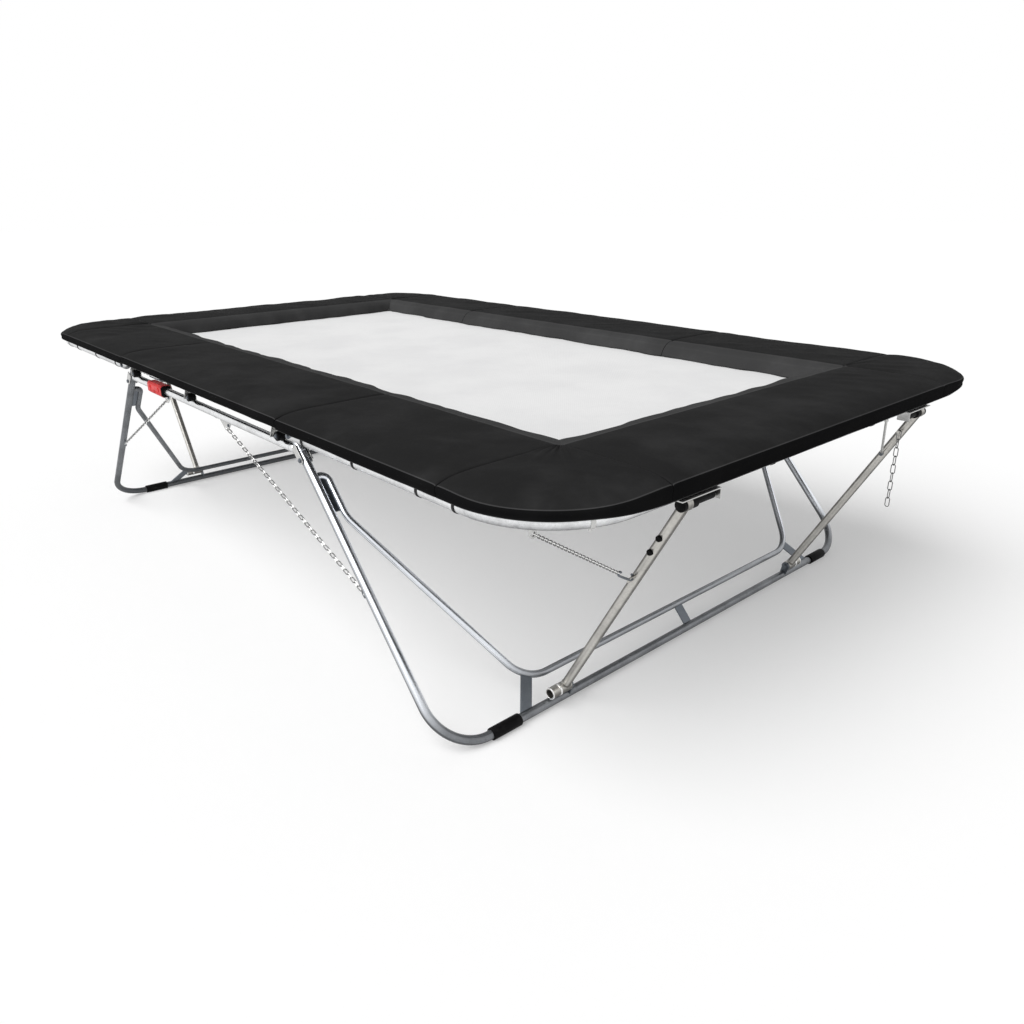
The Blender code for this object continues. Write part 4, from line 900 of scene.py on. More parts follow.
def addChainPlate(side, y, plates, pins):
    # gusset under the rail with the leg chain's eye, and its bolt
    eye, thick = railEye(side, y), railPlan["plate"]
    rise = plan["railBottom"] + 0.004 - eye.z
    foot, head = railPlan["eyeFoot"] / 2, railPlan["eyeTop"] / 2
    outline = [(-foot + 0.004, -0.014), (foot - 0.004, -0.014), (foot, -0.010), (head, rise), (-head, rise),
               (-foot, -0.010)]
    addEye(plates, outline, eye, (1, 0, 0), (0, 0, 1))
    spot = eye + Vector((railPlan["eyeTop"] * 0.22, y * (thick / 2 + 0.0006), rise - 0.018))
    pins.bolt(spot, (0, y, 0), 0.0050, 0.004, 0.0070)


def addLegHinge(side, y, plates, pins):
    # a fixed stub in line with the leg, with two lugs that hold its hinge pin
    x, thick, gap = sides[side], railPlan["plate"], railPlan["legGap"]
    low, high = railPlan["lug"]
    lean, rise = Vector((x * -legAlong.x, 0, -legAlong.z)), Vector((x * -legAlong.z, 0, legAlong.x))
    outline = arcPoints(low, 180, 360, 14) + [(low, high), (-low, high)]
    for step in (-1, 1):
        spot = (x * railPlan["legX"], y * plan["railY"] + step * (gap + thick / 2), railPlan["legZ"])
        plates.plate(outline, spot, rise, lean, thick)
    hinge = Vector((x * railPlan["legX"], y * plan["railY"], railPlan["legZ"]))
    # painted shade on the stub's side away from the light, as on the legs
    plates.tube([hinge + lean * reach for reach in railPlan["stub"]], legPlan["radius"], 28, "flat", mark=1,
                light=(x, 0, 0.5))
    reach = gap + thick
    pins.turned([(-reach - 0.004, 0.007), (reach + 0.004, 0.007)], hinge, (0, y, 0), 20)
    pins.bolt(hinge + Vector((0, y * (reach + 0.0005), 0)), (0, y, 0), 0.0080, 0.005, 0.0098)
    pins.bolt(hinge - Vector((0, y * (reach + 0.0005), 0)), (0, -y, 0), 0.0080, 0.005, 0.0098)


def addFrameHinge(side, y, pins):
    hinge = Vector((sides[side] * plan["hingeX"], 0, plan["frameZ"]))
    inner, outer = plan["centreY"] - plan["frameRadius"], plan["frameY"] + plan["frameRadius"]
    pins.turned([(inner - 0.004, 0.008), (outer + 0.004, 0.008)], hinge, (0, y, 0), 20)
    pins.bolt(hinge + Vector((0, y * (outer + 0.0005), 0)), (0, y, 0), 0.0090, 0.0050, 0.0110)
    pins.bolt(hinge + Vector((0, y * (inner - 0.0005), 0)), (0, -y, 0), 0.0090, 0.0050, 0.0110)


def makeClamp():
    # red block on the near rail: chamfered shell, dark rubber ends, a clamping screw on its face
    x, y, z = railPlan["clampX"], -(plan["railY"] + 0.005), plan["railZ"]
    deep, high, length = railPlan["clampDeep"] / 2, railPlan["clampHigh"] / 2, railPlan["clampLength"] / 2
    cut = 0.010
    outline = [(-deep, -high + cut), (-deep + cut, -high), (deep - cut, -high), (deep, -high + cut),
               (deep, high - cut), (deep - cut, high), (-deep + cut, high), (-deep, high - cut)]
    clamp = Shape()
    hole = (0.005, 0.0, plan["railRadius"] + 0.0004)
    clamp.plate(outline, (x, y, z), (0, 1, 0), (0, 0, 1), 2 * length - 0.012, hole)
    for end in (-1, 1):
        small = [(a * 0.93, u * 0.93) for a, u in outline]
        clamp.plate(small, (x + end * (length - 0.003), y, z), (0, 1, 0), (0, 0, 1), 0.006, hole, mark=1)
    for along in (-0.055, 0.055):
        clamp.turned([(-0.002, 0.011), (0.0016, 0.011), (0.0024, 0.0095), (0.0024, 0.006), (0.0008, 0.0055)],
                     (x + along, y - deep, z + 0.006), (0, -1, 0), 24)
    # shallow grip grooves moulded in the lower front edge
    for step in range(7):
        middle = x - 0.060 + step * 0.020
        clamp.block((middle - 0.003, y - deep - 0.0012, z - high + cut + 0.001),
                    (middle + 0.003, y - deep + 0.004, z - high + cut + 0.016))
    place(clamp.piece("railClamp", ["redPaint", "rubber"], 0.0012), "centre_section", "red_paint",
          ["rail_clamp"])


# Leg frames

def legPoint(side, along, y, out=0.0):
    spot = Vector((legPlan["topX"], 0, legPlan["topZ"])) + legAlong * along
    spot += Vector((-legAlong.z, 0, legAlong.x)) * out
    return Vector((sides[side] * spot.x, y, spot.z))


def legDirection(side):
    return Vector((sides[side] * legAlong.x, 0, legAlong.z))


def legEye(side, row):
    return legPoint(side, legPlan["hook"], rows[row] * legPlan["spread"],
                    -(legPlan["radius"] + frameParts["eyeEdge"]))


def makeLegs(side):
    name, body, light = side.title(), "leg_frame_" + side, (sides[side], 0, 0.5)
    spread, head, innerY = legPlan["spread"], -legPlan["head"], legPlan["innerY"]
    outer, inner = Shape(), Shape()
    corners = [legPoint(side, head, -spread), legPoint(side, legLength, -spread),
               legPoint(side, legLength, spread), legPoint(side, head, spread)]
    path = roundedPath(corners, [legPlan["bend"]] * 2, math.radians(4))
    # painted shade on the leg tubes falls on their side away from a light that comes outwards and from above
    outer.tube(path, legPlan["radius"], 28, light=light)
    place(outer.piece("legTube" + name, ["legSteel"]), body, "leg_steel", ["leg_outer_" + side])

    top = legPlan["innerTop"] - 0.012
    spots = [(top, spread - 0.006), (top, innerY), (legPlan["innerBend"], innerY),
             (legLength - legPlan["innerCross"], legPlan["innerCornerY"])]
    corners = [legPoint(side, s, -y) for s, y in spots] + [legPoint(side, s, y) for s, y in reversed(spots)]
    bends = (legPlan["hookBend"], legPlan["elbow"], legPlan["innerRadius"])
    path = roundedPath(corners, bends + bends[::-1], math.radians(4))
    inner.tube(path, legPlan["inner"], 24, light=light)
    place(inner.piece("innerTube" + name, ["legSteel"]), body, "leg_steel", ["leg_inner_" + side])

    bars = Shape()
    addCrossBars(side, bars)
    for row, y in rows.items():
        addEye(bars, eyeTab(0.005), legEye(side, row), legDirection(side),
               legPoint(side, 0, 0, 1) - legPoint(side, 0, 0))
        addStrutPivot(side, y, bars)
    place(bars.piece("legBars" + name, ["barSteel"], 0.0008), body, "leg_steel")
    for row in rows:
        makeFootSleeve(side, row)


def addCrossBars(side, bars):
    # flat bars between the two foot tubes, and strips between the inner and the outer leg tube
    half, thick = legPlan["bar"] / 2, legPlan["barThick"]
    bend, reach = legPlan["innerBend"], legPlan["innerRadius"]
    root, direction = legPoint(side, 0, 0), legDirection(side)
    crossAt, cornerY = legLength - legPlan["innerCross"], legPlan["innerCornerY"]
    low, high = legLength - legPlan["radius"] + 0.003, crossAt + legPlan["inner"] - 0.003
    bars.plate([(-half, high), (half, high), (half, low), (-half, low)], root, (0, 1, 0), direction, thick)
    lean = (math.pi / 2 - math.atan2(legPlan["innerY"] - cornerY, crossAt - bend)) / 2
    outward = Vector((math.sin(lean), math.cos(lean)))
    sideways = Vector((outward.y, -outward.x))
    centre = Vector((cornerY - reach * math.tan(lean), crossAt - reach))
    top = centre + outward * (reach + legPlan["inner"] - 0.003)
    ends = [top - sideways * half, top + sideways * half]
    outline = ends + [end + outward * (low - end.y) / outward.y for end in reversed(ends)]
    stripIn = legPlan["innerY"] + legPlan["inner"] - 0.003
    stripOut = legPlan["spread"] - legPlan["radius"] + 0.003
    first, last = legPlan["strap"]
    strip = [(stripIn, first), (stripOut, first), (stripOut, last), (stripIn, last)]
    for y in rows.values():
        for flat in (outline, strip):
            bars.plate([(y * a, u) for a, u in flat], root, (0, 1, 0), direction, thick)


def addStrutPivot(side, y, bars):
    # lug and pin under the strut's pivot sleeve
    x, pin, drop = sides[side] * strutPlan["footX"], strutPlan["pin"], legPlan["footZ"] - strutPlan["footZ"]
    foot = -sides[side] * 0.012
    lug = arcPoints(legPlan["lug"], -20, 200, 16) + [(foot - 0.016, drop), (foot + 0.016, drop)]
    lugY = strutPlan["y"] - strutPlan["inboard"] - 0.0045
    bars.plate(lug, (x, y * lugY, strutPlan["footZ"]), (1, 0, 0), (0, 0, 1), 0.008)
    reach = strutPlan["sleeveLength"] - strutPlan["inboard"] - 0.020
    bars.turned([(-0.030, pin), (reach - 0.002, pin), (reach, pin - 0.002)],
                (x, y * strutPlan["y"], strutPlan["footZ"]), (0, y, 0), 24)
    bars.bolt((x, y * (lugY - 0.0045), strutPlan["footZ"]), (0, -y, 0), 0.0105, 0.006, 0.0125)


def makeFootSleeve(side, row):
    # rubber sleeve round the foot tube, flat where it stands on the floor
    wall, bore, half = legPlan["sleeve"], legPlan["radius"] + 0.0003, legPlan["sleeveLength"] / 2
    profile = [(-half, bore), (-half, wall - 0.0022), (-half + 0.001, wall - 0.0006), (-half + 0.003, wall),
               (half - 0.003, wall), (half - 0.001, wall - 0.0006), (half, wall - 0.0022), (half, bore)]
    sleeve = Shape()
    spot = (sides[side] * legPlan["footX"], rows[row] * legPlan["sleeveY"], legPlan["footZ"])
    sleeve.turned(profile, spot, (0, 1, 0), 40, closed=True)
    for point in sleeve.points:
        point.z = max(point.z, 0.0)
    place(sleeve.piece(f"footSleeve{row.title()}{side.title()}", ["rubber"]), "leg_frame_" + side, "rubber",
          [f"foot_sleeve_{row}_{side}"])


# Chains

chainPlan = {"Length": 0.0335, "Width": 0.0170, "Wire": 0.0045, "Jitter": 0.05, "Seed": 3}
fineChain = {"Length": 0.0180, "Width": 0.0125, "Wire": 0.0040, "Jitter": 0.05, "Seed": 4}
openChain = {"Length": 0.0460, "Width": 0.0215, "Wire": 0.0040, "Jitter": 0.12, "Seed": 5}
# how far the end links reach through their eyes, the hanging chain's length, and shares of the taut chains'
# lengths for folding that are handed on with them but not used to shorten them
chainFit = {"lap": 0.009, "hanging": 0.352, "legLeast": 0.15, "strutLeast": 0.3}
hookPlan = {"length": 0.085, "radius": 0.0042,
            "bends": ((0.010, 0.006), (0.003, 0.005), (0.0, 0.0), (0.003, -0.005), (0.012, -0.0065),
                      (0.040, -0.006), (0.066, -0.0045), (0.080, -0.004), (0.090, 0.0), (0.093, 0.007),
                      (0.088, 0.013), (0.078, 0.014))}


def chainSpots(start, end, sizes):
    # link places from eye to eye, each a quarter turn from the last
    along = (end - start).normalized()
    reach = (end - start).length - sizes["Length"]
    count = round(reach / (sizes["Length"] - 2 * sizes["Wire"])) + 1
    return [(start + along * (sizes["Length"] / 2 + reach * index / (count - 1)), along, math.pi / 2 * index)
            for index in range(count)]


def hangChain(name, chainTree, spots, sizes, body, nodes, squash=(), finishPair=("zinc", "darkZinc")):
    # every other link takes the second finish of the pair, which for the taut chains is a darker zinc:
    # painted shade between the bright links
    for part, finish in enumerate(finishPair):
        label = name + ("Odd" if part else "")
        chain = growRow(label, chainTree, spots[part::2], sizes, finish)
        place(chain, body, "zinc", [] if part else nodes)
        if squash:
            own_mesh(chain)


def makeChains(chainTree):
    for side in sides:
        for row, y in rows.items():
            name = row.title() + side.title()
            start, end = railEye(side, y), legEye(side, row)
            along = (end - start).normalized()
            lap = along * chainFit["lap"]
            hangChain("legChain" + name, chainTree, chainSpots(start - lap, end + lap, chainPlan), chainPlan,
                      "centre_section", [f"leg_chain_{row}_{side}"],
                      ("leg_fold_" + side, along, start, chainFit["legLeast"]))

            start, end = frameEye(side, row), strutEye(side, row)
            along = (end - start).normalized()
            squash = ("end_fold_" + side, along, start, chainFit["strutLeast"])
            spots = chainSpots(start - along * chainFit["lap"], end - along * (hookPlan["length"] - 0.004),
                               fineChain)
            hangChain("strutChain" + name, chainTree, spots, fineChain, "end_frame_" + side,
                      [f"strut_chain_{row}_{side}"], squash)
            hook = makeHook("strutHook" + name, along, end)
            place(hook, "end_frame_" + side, "zinc")
            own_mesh(hook)

    down = Vector((0, 0, -1))
    top = strutPoint("right", "far", strutPlan["peg"], -(strutPlan["radius"] + 0.017)) - down * 0.0068
    spots = chainSpots(top, top + down * chainFit["hanging"], openChain)
    hangChain("hangingChain", chainTree, spots, openChain, "hanging_chain", ["hanging_chain"], (),
              ("darkZinc", "darkZinc"))


def makeHook(name, along, end):
    # long wire hook from the last link to the strut's eye
    lift = along.cross(Vector((0, 0, 1))).normalized().cross(along)
    begin = end - along * hookPlan["length"]
    path = smoothPath([begin + along * a + lift * b for a, b in hookPlan["bends"]], 4)
    hook = Shape()
    hook.tube(path, hookPlan["radius"], 12)
    return hook.piece(name, ["barSteel"])


def smoothPath(points, steps):
    # a path through the points with rounded turns between them
    full = [points[0], *points, points[-1]]
    path = []
    for a, b, c, d in zip(full, full[1:], full[2:], full[3:]):
        for i in range(steps):
            t = i / steps
            path.append(0.5 * ((2 * b) + (c - a) * t + (2 * a - 5 * b + 4 * c - d) * t * t
                               + (3 * b - a - 3 * c + d) * t ** 3))
    return path + [points[-1]]


# Bed and springs

bedPlan = {"halfX": 1.86, "halfY": 0.96, "thick": 0.004, "fold": 0.06, "step": 0.12, "fine": 0.012,
           "hem": 0.006, "hookDepth": 0.003, "hookReach": 0.002, "springPitch": 0.082, "endTurns": 38.0,
           "centreRow": 0.89, "sideRow": (0.97, 1.82), "endRow": 0.92}
springPlan = {"Length": 0.30, "Width": 0.021, "Wire": 0.0034, "Hook": 0.022, "Neck": 0.016, "Turns": 34.0,
              "Jitter": 0.6, "Seed": 5}


def makeBed(side):
    x = sides[side]
    hinge, fold = plan["hingeX"], bedPlan["fold"] * 1.5
    stations = [bedPlan["step"] * i for i in range(int((hinge - fold) / bedPlan["step"]) + 1)]
    stations += [hinge - fold + bedPlan["fine"] * i for i in range(int(2 * fold / bedPlan["fine"]) + 1)]
    stations += [hinge + fold + 0.01 + (bedPlan["halfX"] - hinge - fold - 0.01) * i / 8 for i in range(9)]
    across = [-bedPlan["halfY"] + bedPlan["halfY"] * 2 * i / 24 for i in range(25)]
    points = [(x * s, y, plan["bedTop"]) for s in stations for y in across]
    count = len(across)
    faces = []
    for i in range(len(stations) - 1):
        for k in range(count - 1):
            faces.append([i * count + k, (i + 1) * count + k, (i + 1) * count + k + 1, i * count + k + 1])
    under = [(a, b, c - bedPlan["thick"]) for a, b, c in points]
    size = len(points)
    faces += [[index + size for index in reversed(face)] for face in faces]
    last = (len(stations) - 1) * count
    rim = list(range(count)) + [i * count + count - 1 for i in range(1, len(stations))]
    rim += [last + k for k in range(count - 2, -1, -1)]
    rim += [i * count for i in range(len(stations) - 2, 0, -1)]
    faces += [[a, b, b + size, a + size] for a, b in zip(rim, rim[1:] + rim[:1])]
    shape = Shape()
    shape.shell(points + under, faces)
    cloth = shape.piece("bedCloth" + side.title(), ["wovenBed"])
    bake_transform(cloth)
    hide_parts("bed_" + side, *(["bed_centre"] if side == "right" else []))


def springSpots(places, start, end):
    spots = []
    for step, spot in enumerate(places):
        first, last = Vector(start(spot)), Vector(end(spot))
        spots.append(((first + last) / 2, (last - first).normalized(), 0.4 * step))
    return spots


def evenly(low, high, pitch):
    count = round((high - low) / pitch)
    return [low + (high - low) * i / count for i in range(count + 1)]


def makeSprings(springTree):
    # hooked to the bed's hem and to the inner side of the frame tube
    edgeZ, tubeZ, pitch = plan["bedTop"] - bedPlan["hookDepth"], plan["frameZ"], bedPlan["springPitch"]
    hemX, hemY = bedPlan["halfX"] - bedPlan["hem"], bedPlan["halfY"] - bedPlan["hem"]
    tubeX, tubeY, centreY = [plan[reach] - plan["frameRadius"] + bedPlan["hookReach"]
                             for reach in ("frameX", "frameY", "centreY")]

    def bothSides(places, outer):
        spots = []
        for y in rows.values():
            spots += springSpots(places, lambda s: (s, y * hemY, edgeZ), lambda s: (s, y * outer, tubeZ))
        return spots

    def addSprings(name, body, spots, length, turns=springPlan["Turns"]):
        values = dict(springPlan, Length=length, Turns=turns)
        place(growRow(name, springTree, spots, values, "zinc"), body, "zinc")

    centreRow, endRow = bedPlan["centreRow"], bedPlan["endRow"]
    spots = bothSides(evenly(-centreRow, centreRow, pitch), centreY)
    addSprings("springsCentre", "centre_section", spots, centreY - hemY)
    for side, x in sides.items():
        spots = bothSides([x * s for s in evenly(*bedPlan["sideRow"], pitch)], tubeY)
        addSprings("springs" + side.title(), "end_frame_" + side, spots, tubeY - hemY)
        spots = springSpots(evenly(-endRow, endRow, pitch), lambda s: (x * hemX, s, edgeZ),
                            lambda s: (x * tubeX, s, tubeZ))
        addSprings("endSprings" + side.title(), "end_frame_" + side, spots, tubeX - hemX, bedPlan["endTurns"])


# Pads

padPlan = {"outX": 2.31, "outY": 1.42, "inX": 1.855, "inY": 0.92, "seam": 0.87, "corner": 0.36, "gap": 0.0004,
           "height": 0.0530, "crease": 0.0470, "wall": 0.0032, "step": 0.024, "fullness": 0.7,
           "overlap": 0.024, "tip": 0.007}
# heights of the soft swells, the slanting folds, the pulls beside the seams and the corners' puckers
padFolds = {"swell": 0.0045, "ripple": 0.0022, "fold": 0.0100, "pull": 0.0060, "pucker": 0.0095}
padMarks = {"top": 0, "skirt": 1, "piping": 2, "flap": 3}
padFinishes = ["padVinyl", "padSkirtShade", "padPipingSheen", "padFlap"]
# height of the outer edge over the pad's underside, and how far the skirt hangs below it
padEdges = {"centre": (0.034, 0.002), "long": (0.031, 0.007), "corner": (0.024, 0.008),
            "short": (0.030, 0.025)}
# inner flaps as (reach, drop), with the place of the seam across them: stiff ones stand out over the
# springs, slack ones hang
flaps = {
    "stiff": {"seam": 7, "line": (
        (0, 0), (0.004, 0.0015), (0.014, 0.0030), (0.028, 0.0048), (0.042, 0.0068), (0.055, 0.0092),
        (0.066, 0.0125), (0.074, 0.0180), (0.079, 0.0260), (0.082, 0.0360), (0.0838, 0.0470), (0.085, 0.0600),
        (0.0855, 0.0690))},
    "slack": {"seam": 5, "line": (
        (0, 0), (0.004, 0.0015), (0.012, 0.0032), (0.022, 0.0062), (0.032, 0.0105), (0.041, 0.0165),
        (0.049, 0.0240), (0.056, 0.0325), (0.062, 0.0410), (0.067, 0.0500), (0.071, 0.0590), (0.074, 0.0670),
        (0.0755, 0.0720))},
}


def dropAt(line, reach):
    for (a, low), (b, high) in zip(line, line[1:]):
        if reach <= b:
            return low + (high - low) * max(0.0, reach - a) / (b - a)
    return line[-1][1]


def sectionRows(width, rim, skirt, flap):
    # once round the pad: (distance from the outer edge, height, part, side of the flap)
    # the skirt part takes painted shade on the pad's sides
    low, full = -skirt, padPlan["height"]
    # the piping part is a painted highlight along the creases and across the flap's seam
    section = [(0.0080, 0.0004, "skirt", 0), (0.0068, low + 0.003, "skirt", 0),
               (0.0052, low - 0.0006, "piping", 0), (0.0020, low + 0.0002, "piping", 0),
               (0.0014, low + 0.0030, "skirt", 0), (0.0034, low + 0.0060, "skirt", 0),
               (0.0036, (low + 0.006 + rim * 0.3) / 2, "skirt", 0), (0.0022, rim * 0.3, "skirt", 0),
               (0.0012, rim * 0.5, "skirt", 0), (0.0014, rim - 0.0080, "skirt", 0),
               (0.0026, rim - 0.0042, "skirt", 0), (0.0052, rim - 0.0010, "piping", 0),
               (0.0088, rim + 0.0010, "top", 0), (0.0130, rim + 0.0024, "top", 0)]
    for d, share in ((0.024, 0.34), (0.048, 0.66), (0.084, 0.90)):
        section.append((d, rim + (full - rim) * share, "top", 0))
    count = 9
    section += [(0.14 + (width - 0.24) * i / count, full, "top", 0) for i in range(count + 1)]
    section += [(width - 0.055, full - 0.0004, "top", 0), (width - 0.024, full - 0.0022, "top", 0),
                (width - 0.010, full - 0.0042, "piping", 0), (width - 0.004, full - 0.0052, "piping", 0)]
    if flap:
        reaches = [reach for reach, _ in flap["line"][1:]]
        for step, reach in enumerate(reaches, 1):
            section.append((reach, 0, "piping" if step == flap["seam"] else "flap", 1))
        section += [(reach, 0, "flap", -1) for reach in reversed(reaches)]
    else:
        section += [(width - 0.002, 0.0440, "flap", 0), (width - 0.0005, 0.0300, "flap", 0)]
    section += [(width - 0.0035, 0.0240, "flap", 0), (width - 0.0045, 0.0030, "flap", 0),
                (width - 0.0080, 0.0, "flap", 0)]
    return section


def ripple(x, y, scale, seed):
    return noise.noise(Vector((x * scale, y * scale, seed)))


def flapPoint(line, reach, cut, way, spot):
    # a point of the flap; cut shortens it towards a mitred corner, way is +1 on top and -1 underneath
    reach *= cut
    drop = dropAt(line, reach)
    slope = (dropAt(line, reach + 0.001) - dropAt(line, max(0.0, reach - 0.001))) / 0.002
    if way < 0:
        length = math.hypot(1.0, slope)
        drop += padPlan["wall"] / length
        reach -= padPlan["wall"] * slope / length
    hang = max(0.0, reach / line[-1][0])
    wave = ripple(spot.x, spot.y, 6.5, 0.4) * 0.34 + ripple(spot.x, spot.y, 17.0, 3.4) * 0.13
    lift = ripple(spot.x, spot.y, 7.0, 8.3) * 0.0100 + ripple(spot.x, spot.y, 19.0, 1.7) * 0.0040
    return reach * (1 + wave * hang * cut), padPlan["crease"] - drop + lift * cut * hang * (1.0 - hang * 0.6)


def mitred(flap, along, total, flapEnds):
    # share of the flap's reach that is left near an end where it doesn't run on to the next pad
    reach = flap["line"][-1][0]
    ends = [far for far, runs in zip((along, total - along), flapEnds) if not runs]
    return min([1.0] + [(far + padPlan["overlap"]) / reach for far in ends])


def swollen(height, flat, inside, fade, fromEnd, seed, apex):
    # slow swells and long slanting folds run on from pad to pad, short pulls stay beside the seams
    swell = ripple(flat.x, flat.y, 2.6, 4.1) * padFolds["swell"]
    swell += ripple(flat.x, flat.y, 7.0, 11.7) * padFolds["ripple"]
    slant = noise.noise(Vector((flat.x * 3.0 + flat.y * 2.4, (flat.y - flat.x * 0.6) * 11.0, 3.6)))
    folds = max(0.0, abs(slant) - 0.10) * padFolds["fold"]
    pulls = ripple(flat.x * 0.25 + flat.y, flat.y + flat.x * 0.2, 17.0, seed + 11) * padFolds["pull"]
    pulls *= math.exp(-fromEnd / 0.09)
    height += inside * (swell * (0.35 + 0.65 * fade) + (folds + pulls) * fade)
    if apex:
        # puckers that fan out from the inner corner
        away = Vector((flat.x - apex[0], flat.y - apex[1]))
        fan = noise.noise(Vector((math.atan2(away.y, away.x) * 4.4, seed, away.length * 1.5)))
        fan = max(0.0, 1.0 - abs(fan) * 4.0) * padFolds["pucker"] - 0.002
        height += fade * fan * math.exp(-away.length / 0.13) * min(1.0, away.length / 0.03)
    return height


def padShape(name, outer, inner, edges, seed, flap=None, flapEnds=(True, True), apex=None):
    # outer and inner are matching points along the pad's long edges; flapEnds tells where the flap runs on
    lengths = travel(outer)
    total = lengths[-1]
    rings = []
    for start, end, along, (rim, skirt) in zip(outer, inner, lengths, edges):
        width = (end - start).length
        across = (end - start) / width
        fromEnd = min(along, total - along)
        seamDip = 1.0 - 0.17 * math.exp(-fromEnd / 0.0026) - 0.030 * math.exp(-fromEnd / 0.012)
        fade = min(1.0, fromEnd / 0.06)
        cut = mitred(flap, along, total, flapEnds) if flap else 1.0
        section = sectionRows(width, rim, skirt, flap)
        points = []
        for d, z, _, way in section:
            flat, height = start + across * d, z * (seamDip if z > 0.012 else 1.0)
            if way:
                out, height = flapPoint(flap["line"], d, cut, way, start)
                flat = start + across * (width + out)
            elif z > 0.025:
                inside = max(0.0, min(1.0, (d - 0.006) / 0.06)) * max(0.25, min(1.0, (width - d) / 0.08))
                height = swollen(height, flat, inside, fade, fromEnd, seed, apex)
            elif d < 0.02:
                bulge = ripple(along, z * 7.0, 8.0, seed + 31) * 0.0016
                bulge += ripple(along, z * 7.0, 25.0, seed + 33) * 0.0006
                flat = flat + across * (bulge * fade + 0.008 * (1 - seamDip))
                if z < 0.0:
                    height += ripple(flat.x, flat.y, 6.0, 9.2) * 0.0020
            points.append(Vector((flat.x, flat.y, plan["padBottom"] + height)))
        rings.append(points)
    parts = [padMarks[part] for _, _, part, _ in section]
    return padPiece(name, rings, parts)


def padPiece(name, rings, parts):
    # the skin through the rings, closed at both ends; the ends and the bands next to them take the darker
    # skirt vinyl, painted shade in the seams between pads
    count, perRing = len(rings), len(parts)
    faces, marks = [], []
    for i in range(count - 1):
        for k in range(perRing):
            faces.append(quad(i, i + 1, k, perRing))
            marks.append(padMarks["skirt"] if i in (0, count - 2) else parts[k])
    for end in (0, count - 1):
        for triangle in tessellate_polygon([rings[end]]):
            faces.append([end * perRing + corner for corner in triangle])
            marks.append(padMarks["skirt"])
    shape = Shape()
    shape.shell([p for ringPoints in rings for p in ringPoints], faces, marks=marks)
    pad = shape.piece(name, padFinishes, 0.0, 180)
    smooth = pad.modifiers.new("smooth", "SUBSURF")
    smooth.levels = smooth.render_levels = 1
    return pad


def travel(path):
    # how far each point lies along the path
    lengths = [0.0]
    for a, b in zip(path, path[1:]):
        lengths.append(lengths[-1] + (b - a).length)
    return lengths


def linePoints(start, end, step):
    # points that lie closer together near both ends
    start, end = Vector(start), Vector(end)
    length = (end - start).length
    near = [0.0, 0.0012, 0.0035, 0.008, 0.016]
    inner = length - 2 * near[-1]
    count = max(2, round(inner / step))
    places = near[:-1] + [near[-1] + inner * i / count for i in range(count + 1)]
    places += [length - n for n in reversed(near[:-1])]
    return [start.lerp(end, s / length) for s in places]


def edgeLines(start, end, outer, inner, turned=False):
    # the two long edges of a straight pad, along X or, turned, along Y
    lines = []
    for reach in (outer, inner):
        stops = [(reach, s, 0) if turned else (s, reach, 0) for s in (start, end)]
        lines.append(linePoints(*stops, padPlan["step"]))
    return lines


def makePads():
    gap, seam, inX, inY = [padPlan[key] for key in ("gap", "seam", "inX", "inY")]
    seed, seedStep = 1.0, 5.3
    for row, y in rows.items():
        flap = flaps["stiff" if row == "near" else "slack"]
        seed += seedStep
        outer, inner = edgeLines(-(seam - gap), seam - gap, y * padPlan["outY"], y * inY)
        pad = padShape("padCentre" + row.title(), outer, inner, [padEdges["centre"]] * len(outer), seed, flap)
        place(pad, "centre_section", "pad_vinyl", ["pad_centre_" + row])
        for side, x in sides.items():
            seed += seedStep
            low, high = sorted((x * (seam + gap), x * (inX - gap)))
            outer, inner = edgeLines(low, high, y * padPlan["outY"], y * inY)
            name = row.title() + side.title()
            pad = padShape("padSide" + name, outer, inner, [padEdges["long"]] * len(outer), seed, flap,
                           (x > 0, x < 0))
            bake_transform(pad)
            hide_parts(f"pad_side_{row}_{side}")
            seed += seedStep
            place(makeCornerPad("padCorner" + name, side, row, seed), "end_frame_" + side, "pad_vinyl",
                  [f"pad_corner_{row}_{side}"])
    for side, x in sides.items():
        seed += seedStep
        outer, inner = edgeLines(-(inY - gap), inY - gap, x * padPlan["outX"], x * inX, turned=True)
        pad = padShape("padEnd" + side.title(), outer, inner, [padEdges["short"]] * len(outer), seed,
                       flaps["stiff" if side == "right" else "slack"], (False, False))
        place(pad, "end_frame_" + side, "pad_vinyl", ["pad_end_" + side])


def makeCornerPad(name, side, row, seed):
    # lines fan out from the inner corner to the rounded outer edge, from the short side's skirt to the long
    # side's
    x, y = sides[side], rows[row]
    gap, reach, step, tip = [padPlan[key] for key in ("gap", "corner", "step", "tip")]
    outX, outY, inX, inY = padPlan["outX"], padPlan["outY"], padPlan["inX"] + gap, padPlan["inY"] + gap
    path = linePoints((outX, inY, 0), (outX, outY - reach, 0), step)[:-4]
    path += [Vector((a, b, 0)) for a, b in arcPoints(reach, 0, 90, 26, (outX - reach, outY - reach))]
    path += linePoints((outX - reach, outY, 0), (inX, outY, 0), step)[4:]
    lengths = travel(path)
    shares = [length / lengths[-1] for length in lengths]
    turns = [math.pi / 2 * share for share in shares]
    inner = [Vector((x * (inX + tip * (1 - math.sin(a))), y * (inY + tip * (1 - math.cos(a))), 0))
             for a in turns]
    outer = [Vector((x * p.x, y * p.y, 0)) for p in path]
    edges = []
    for s in shares:
        near, share = ("short", 1 - s / 0.4) if s < 0.4 else ("long", max(0.0, (s - 0.7) / 0.3))
        share = share * share * (3 - 2 * share)
        edges.append([c + (e - c) * share for c, e in zip(padEdges["corner"], padEdges[near])])
    return padShape(name, outer, inner, edges, seed, apex=(x * inX, y * inY))


# Room, light and camera

roomPlan = {"floor": (0.86, 0.86, 0.86), "seenFloor": (0.70, 0.70, 0.70), "glow": 0.31, "reach": 60.0,
            "sky": 0.34, "sun": 2.75, "softness": 56, "sunFrom": (-0.10, -0.85, 1.0)}


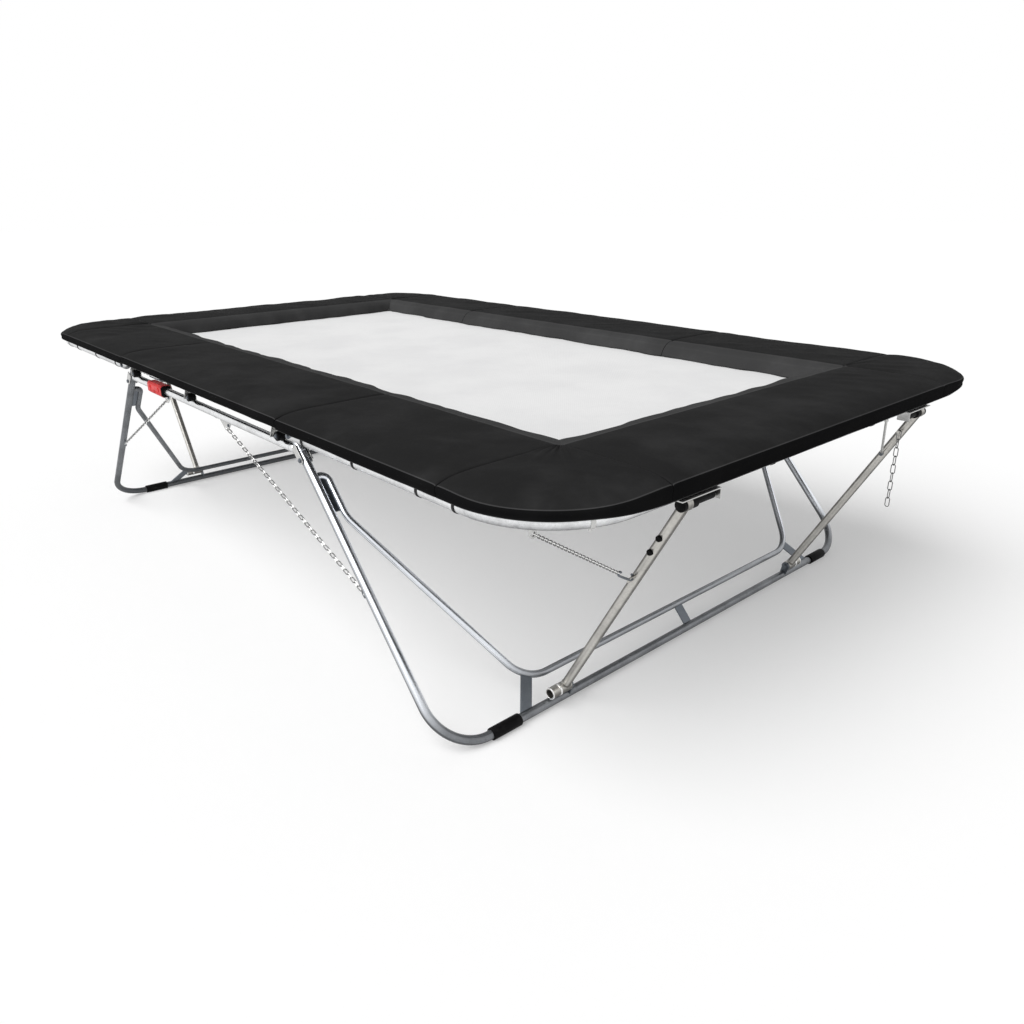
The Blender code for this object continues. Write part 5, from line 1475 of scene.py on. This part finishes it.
def makeRoom():
    # the floor and the sky look brighter to the camera than the light that they give
    floor = Finish("floor", roomPlan["floor"], 0.7, 0.0)
    paths = floor.add("ShaderNodeLightPath", output="Is Camera Ray")
    seen = floor.add("ShaderNodeMath", {"operation": "MAXIMUM"}, {0: paths, 1: paths.out("Is Glossy Ray")})
    plain = floor.add("ShaderNodeBsdfDiffuse", {}, {"Color": (*roomPlan["floor"], 1.0)})
    bright = floor.add("ShaderNodeBsdfDiffuse", {}, {"Color": (*roomPlan["seenFloor"], 1.0)})
    glow = floor.add("ShaderNodeEmission", {}, {"Color": (1, 1, 1, 1), "Strength": roomPlan["glow"]})
    lit = floor.add("ShaderNodeAddShader", {}, {0: bright, 1: glow})
    mixed = floor.add("ShaderNodeMixShader", {}, {0: seen, 1: plain, 2: lit})
    output = floor.nodeTree.nodes["Material Output"]
    floor.nodeTree.links.new(mixed.socket, output.inputs["Surface"])
    mesh = bpy.data.meshes.new("floor")
    reach = roomPlan["reach"]
    corners = [(-reach, -reach, 0), (reach, -reach, 0), (reach, reach, 0), (-reach, reach, 0)]
    mesh.from_pydata(corners, [], [[0, 1, 2, 3]])
    mesh.materials.append(floor.material)
    ground = addObject("floor", mesh)

    world = bpy.data.worlds.new("studio")
    bpy.context.scene.world = world
    world.use_nodes = True
    sky = Tree(world.node_tree)
    paths = sky.add("ShaderNodeLightPath", output="Is Camera Ray")
    seen = sky.add("ShaderNodeMath", {"operation": "MAXIMUM"}, {0: paths, 1: paths.out("Is Glossy Ray")})
    seen = sky.add("ShaderNodeMath", {"operation": "MAXIMUM"}, {0: seen, 1: paths.out("Is Transmission Ray")})
    strength = roomPlan["sky"] + seen * (1 - roomPlan["sky"])
    background = world.node_tree.nodes["Background"]
    background.inputs["Color"].default_value = (1, 1, 1, 1)
    sky.feed(background.inputs["Strength"], strength)

    sun = bpy.data.lights.new("softSun", "SUN")
    sun.energy, sun.angle = roomPlan["sun"], math.radians(roomPlan["softness"])
    lamp = addObject("softSun", sun)
    lamp.rotation_euler = Vector(roomPlan["sunFrom"]).to_track_quat("Z", "Y").to_euler()


cameraPlan = {"place": (3.590, -2.665, 1.799), "yaw": 48.44, "pitch": 21.40, "roll": -0.50, "lens": 28.17}


def makeCamera():
    yaw, pitch, roll = [math.radians(cameraPlan[key]) for key in ("yaw", "pitch", "roll")]
    ahead = Vector((-math.sin(yaw) * math.cos(pitch), math.cos(yaw) * math.cos(pitch), -math.sin(pitch)))
    right = Vector((math.cos(yaw), math.sin(yaw), 0))
    up = right.cross(ahead)
    right, up = math.cos(roll) * right + math.sin(roll) * up, math.cos(roll) * up - math.sin(roll) * right
    data = bpy.data.cameras.new("camera")
    data.sensor_width, data.lens = 36.0, cameraPlan["lens"]
    data.clip_start, data.clip_end = 0.05, 300
    camera = addObject("camera", data)
    turn = Matrix((right, up, -ahead)).transposed().to_4x4()
    camera.matrix_world = Matrix.Translation(cameraPlan["place"]) @ turn
    bpy.context.scene.camera = camera


makeCamera()
makeRoom()
print("room and camera made")
for side in sides:
    makeFrame(side)
    makeLegs(side)
    for row in rows:
        makeStrut(side, row)
for row in rows:
    makeRail(row)
makeClamp()
makeStay()
print("frame, legs and struts made")
makeChains(rowTree("chainLinks", chainPlan, linkUnit))
makeSprings(rowTree("bedSprings", springPlan, springUnit))
print("chains and springs made")
for side in sides:
    makeBed(side)
makePads()
print("bed and pads made")

bpy.context.scene.view_settings.view_transform = "Standard"
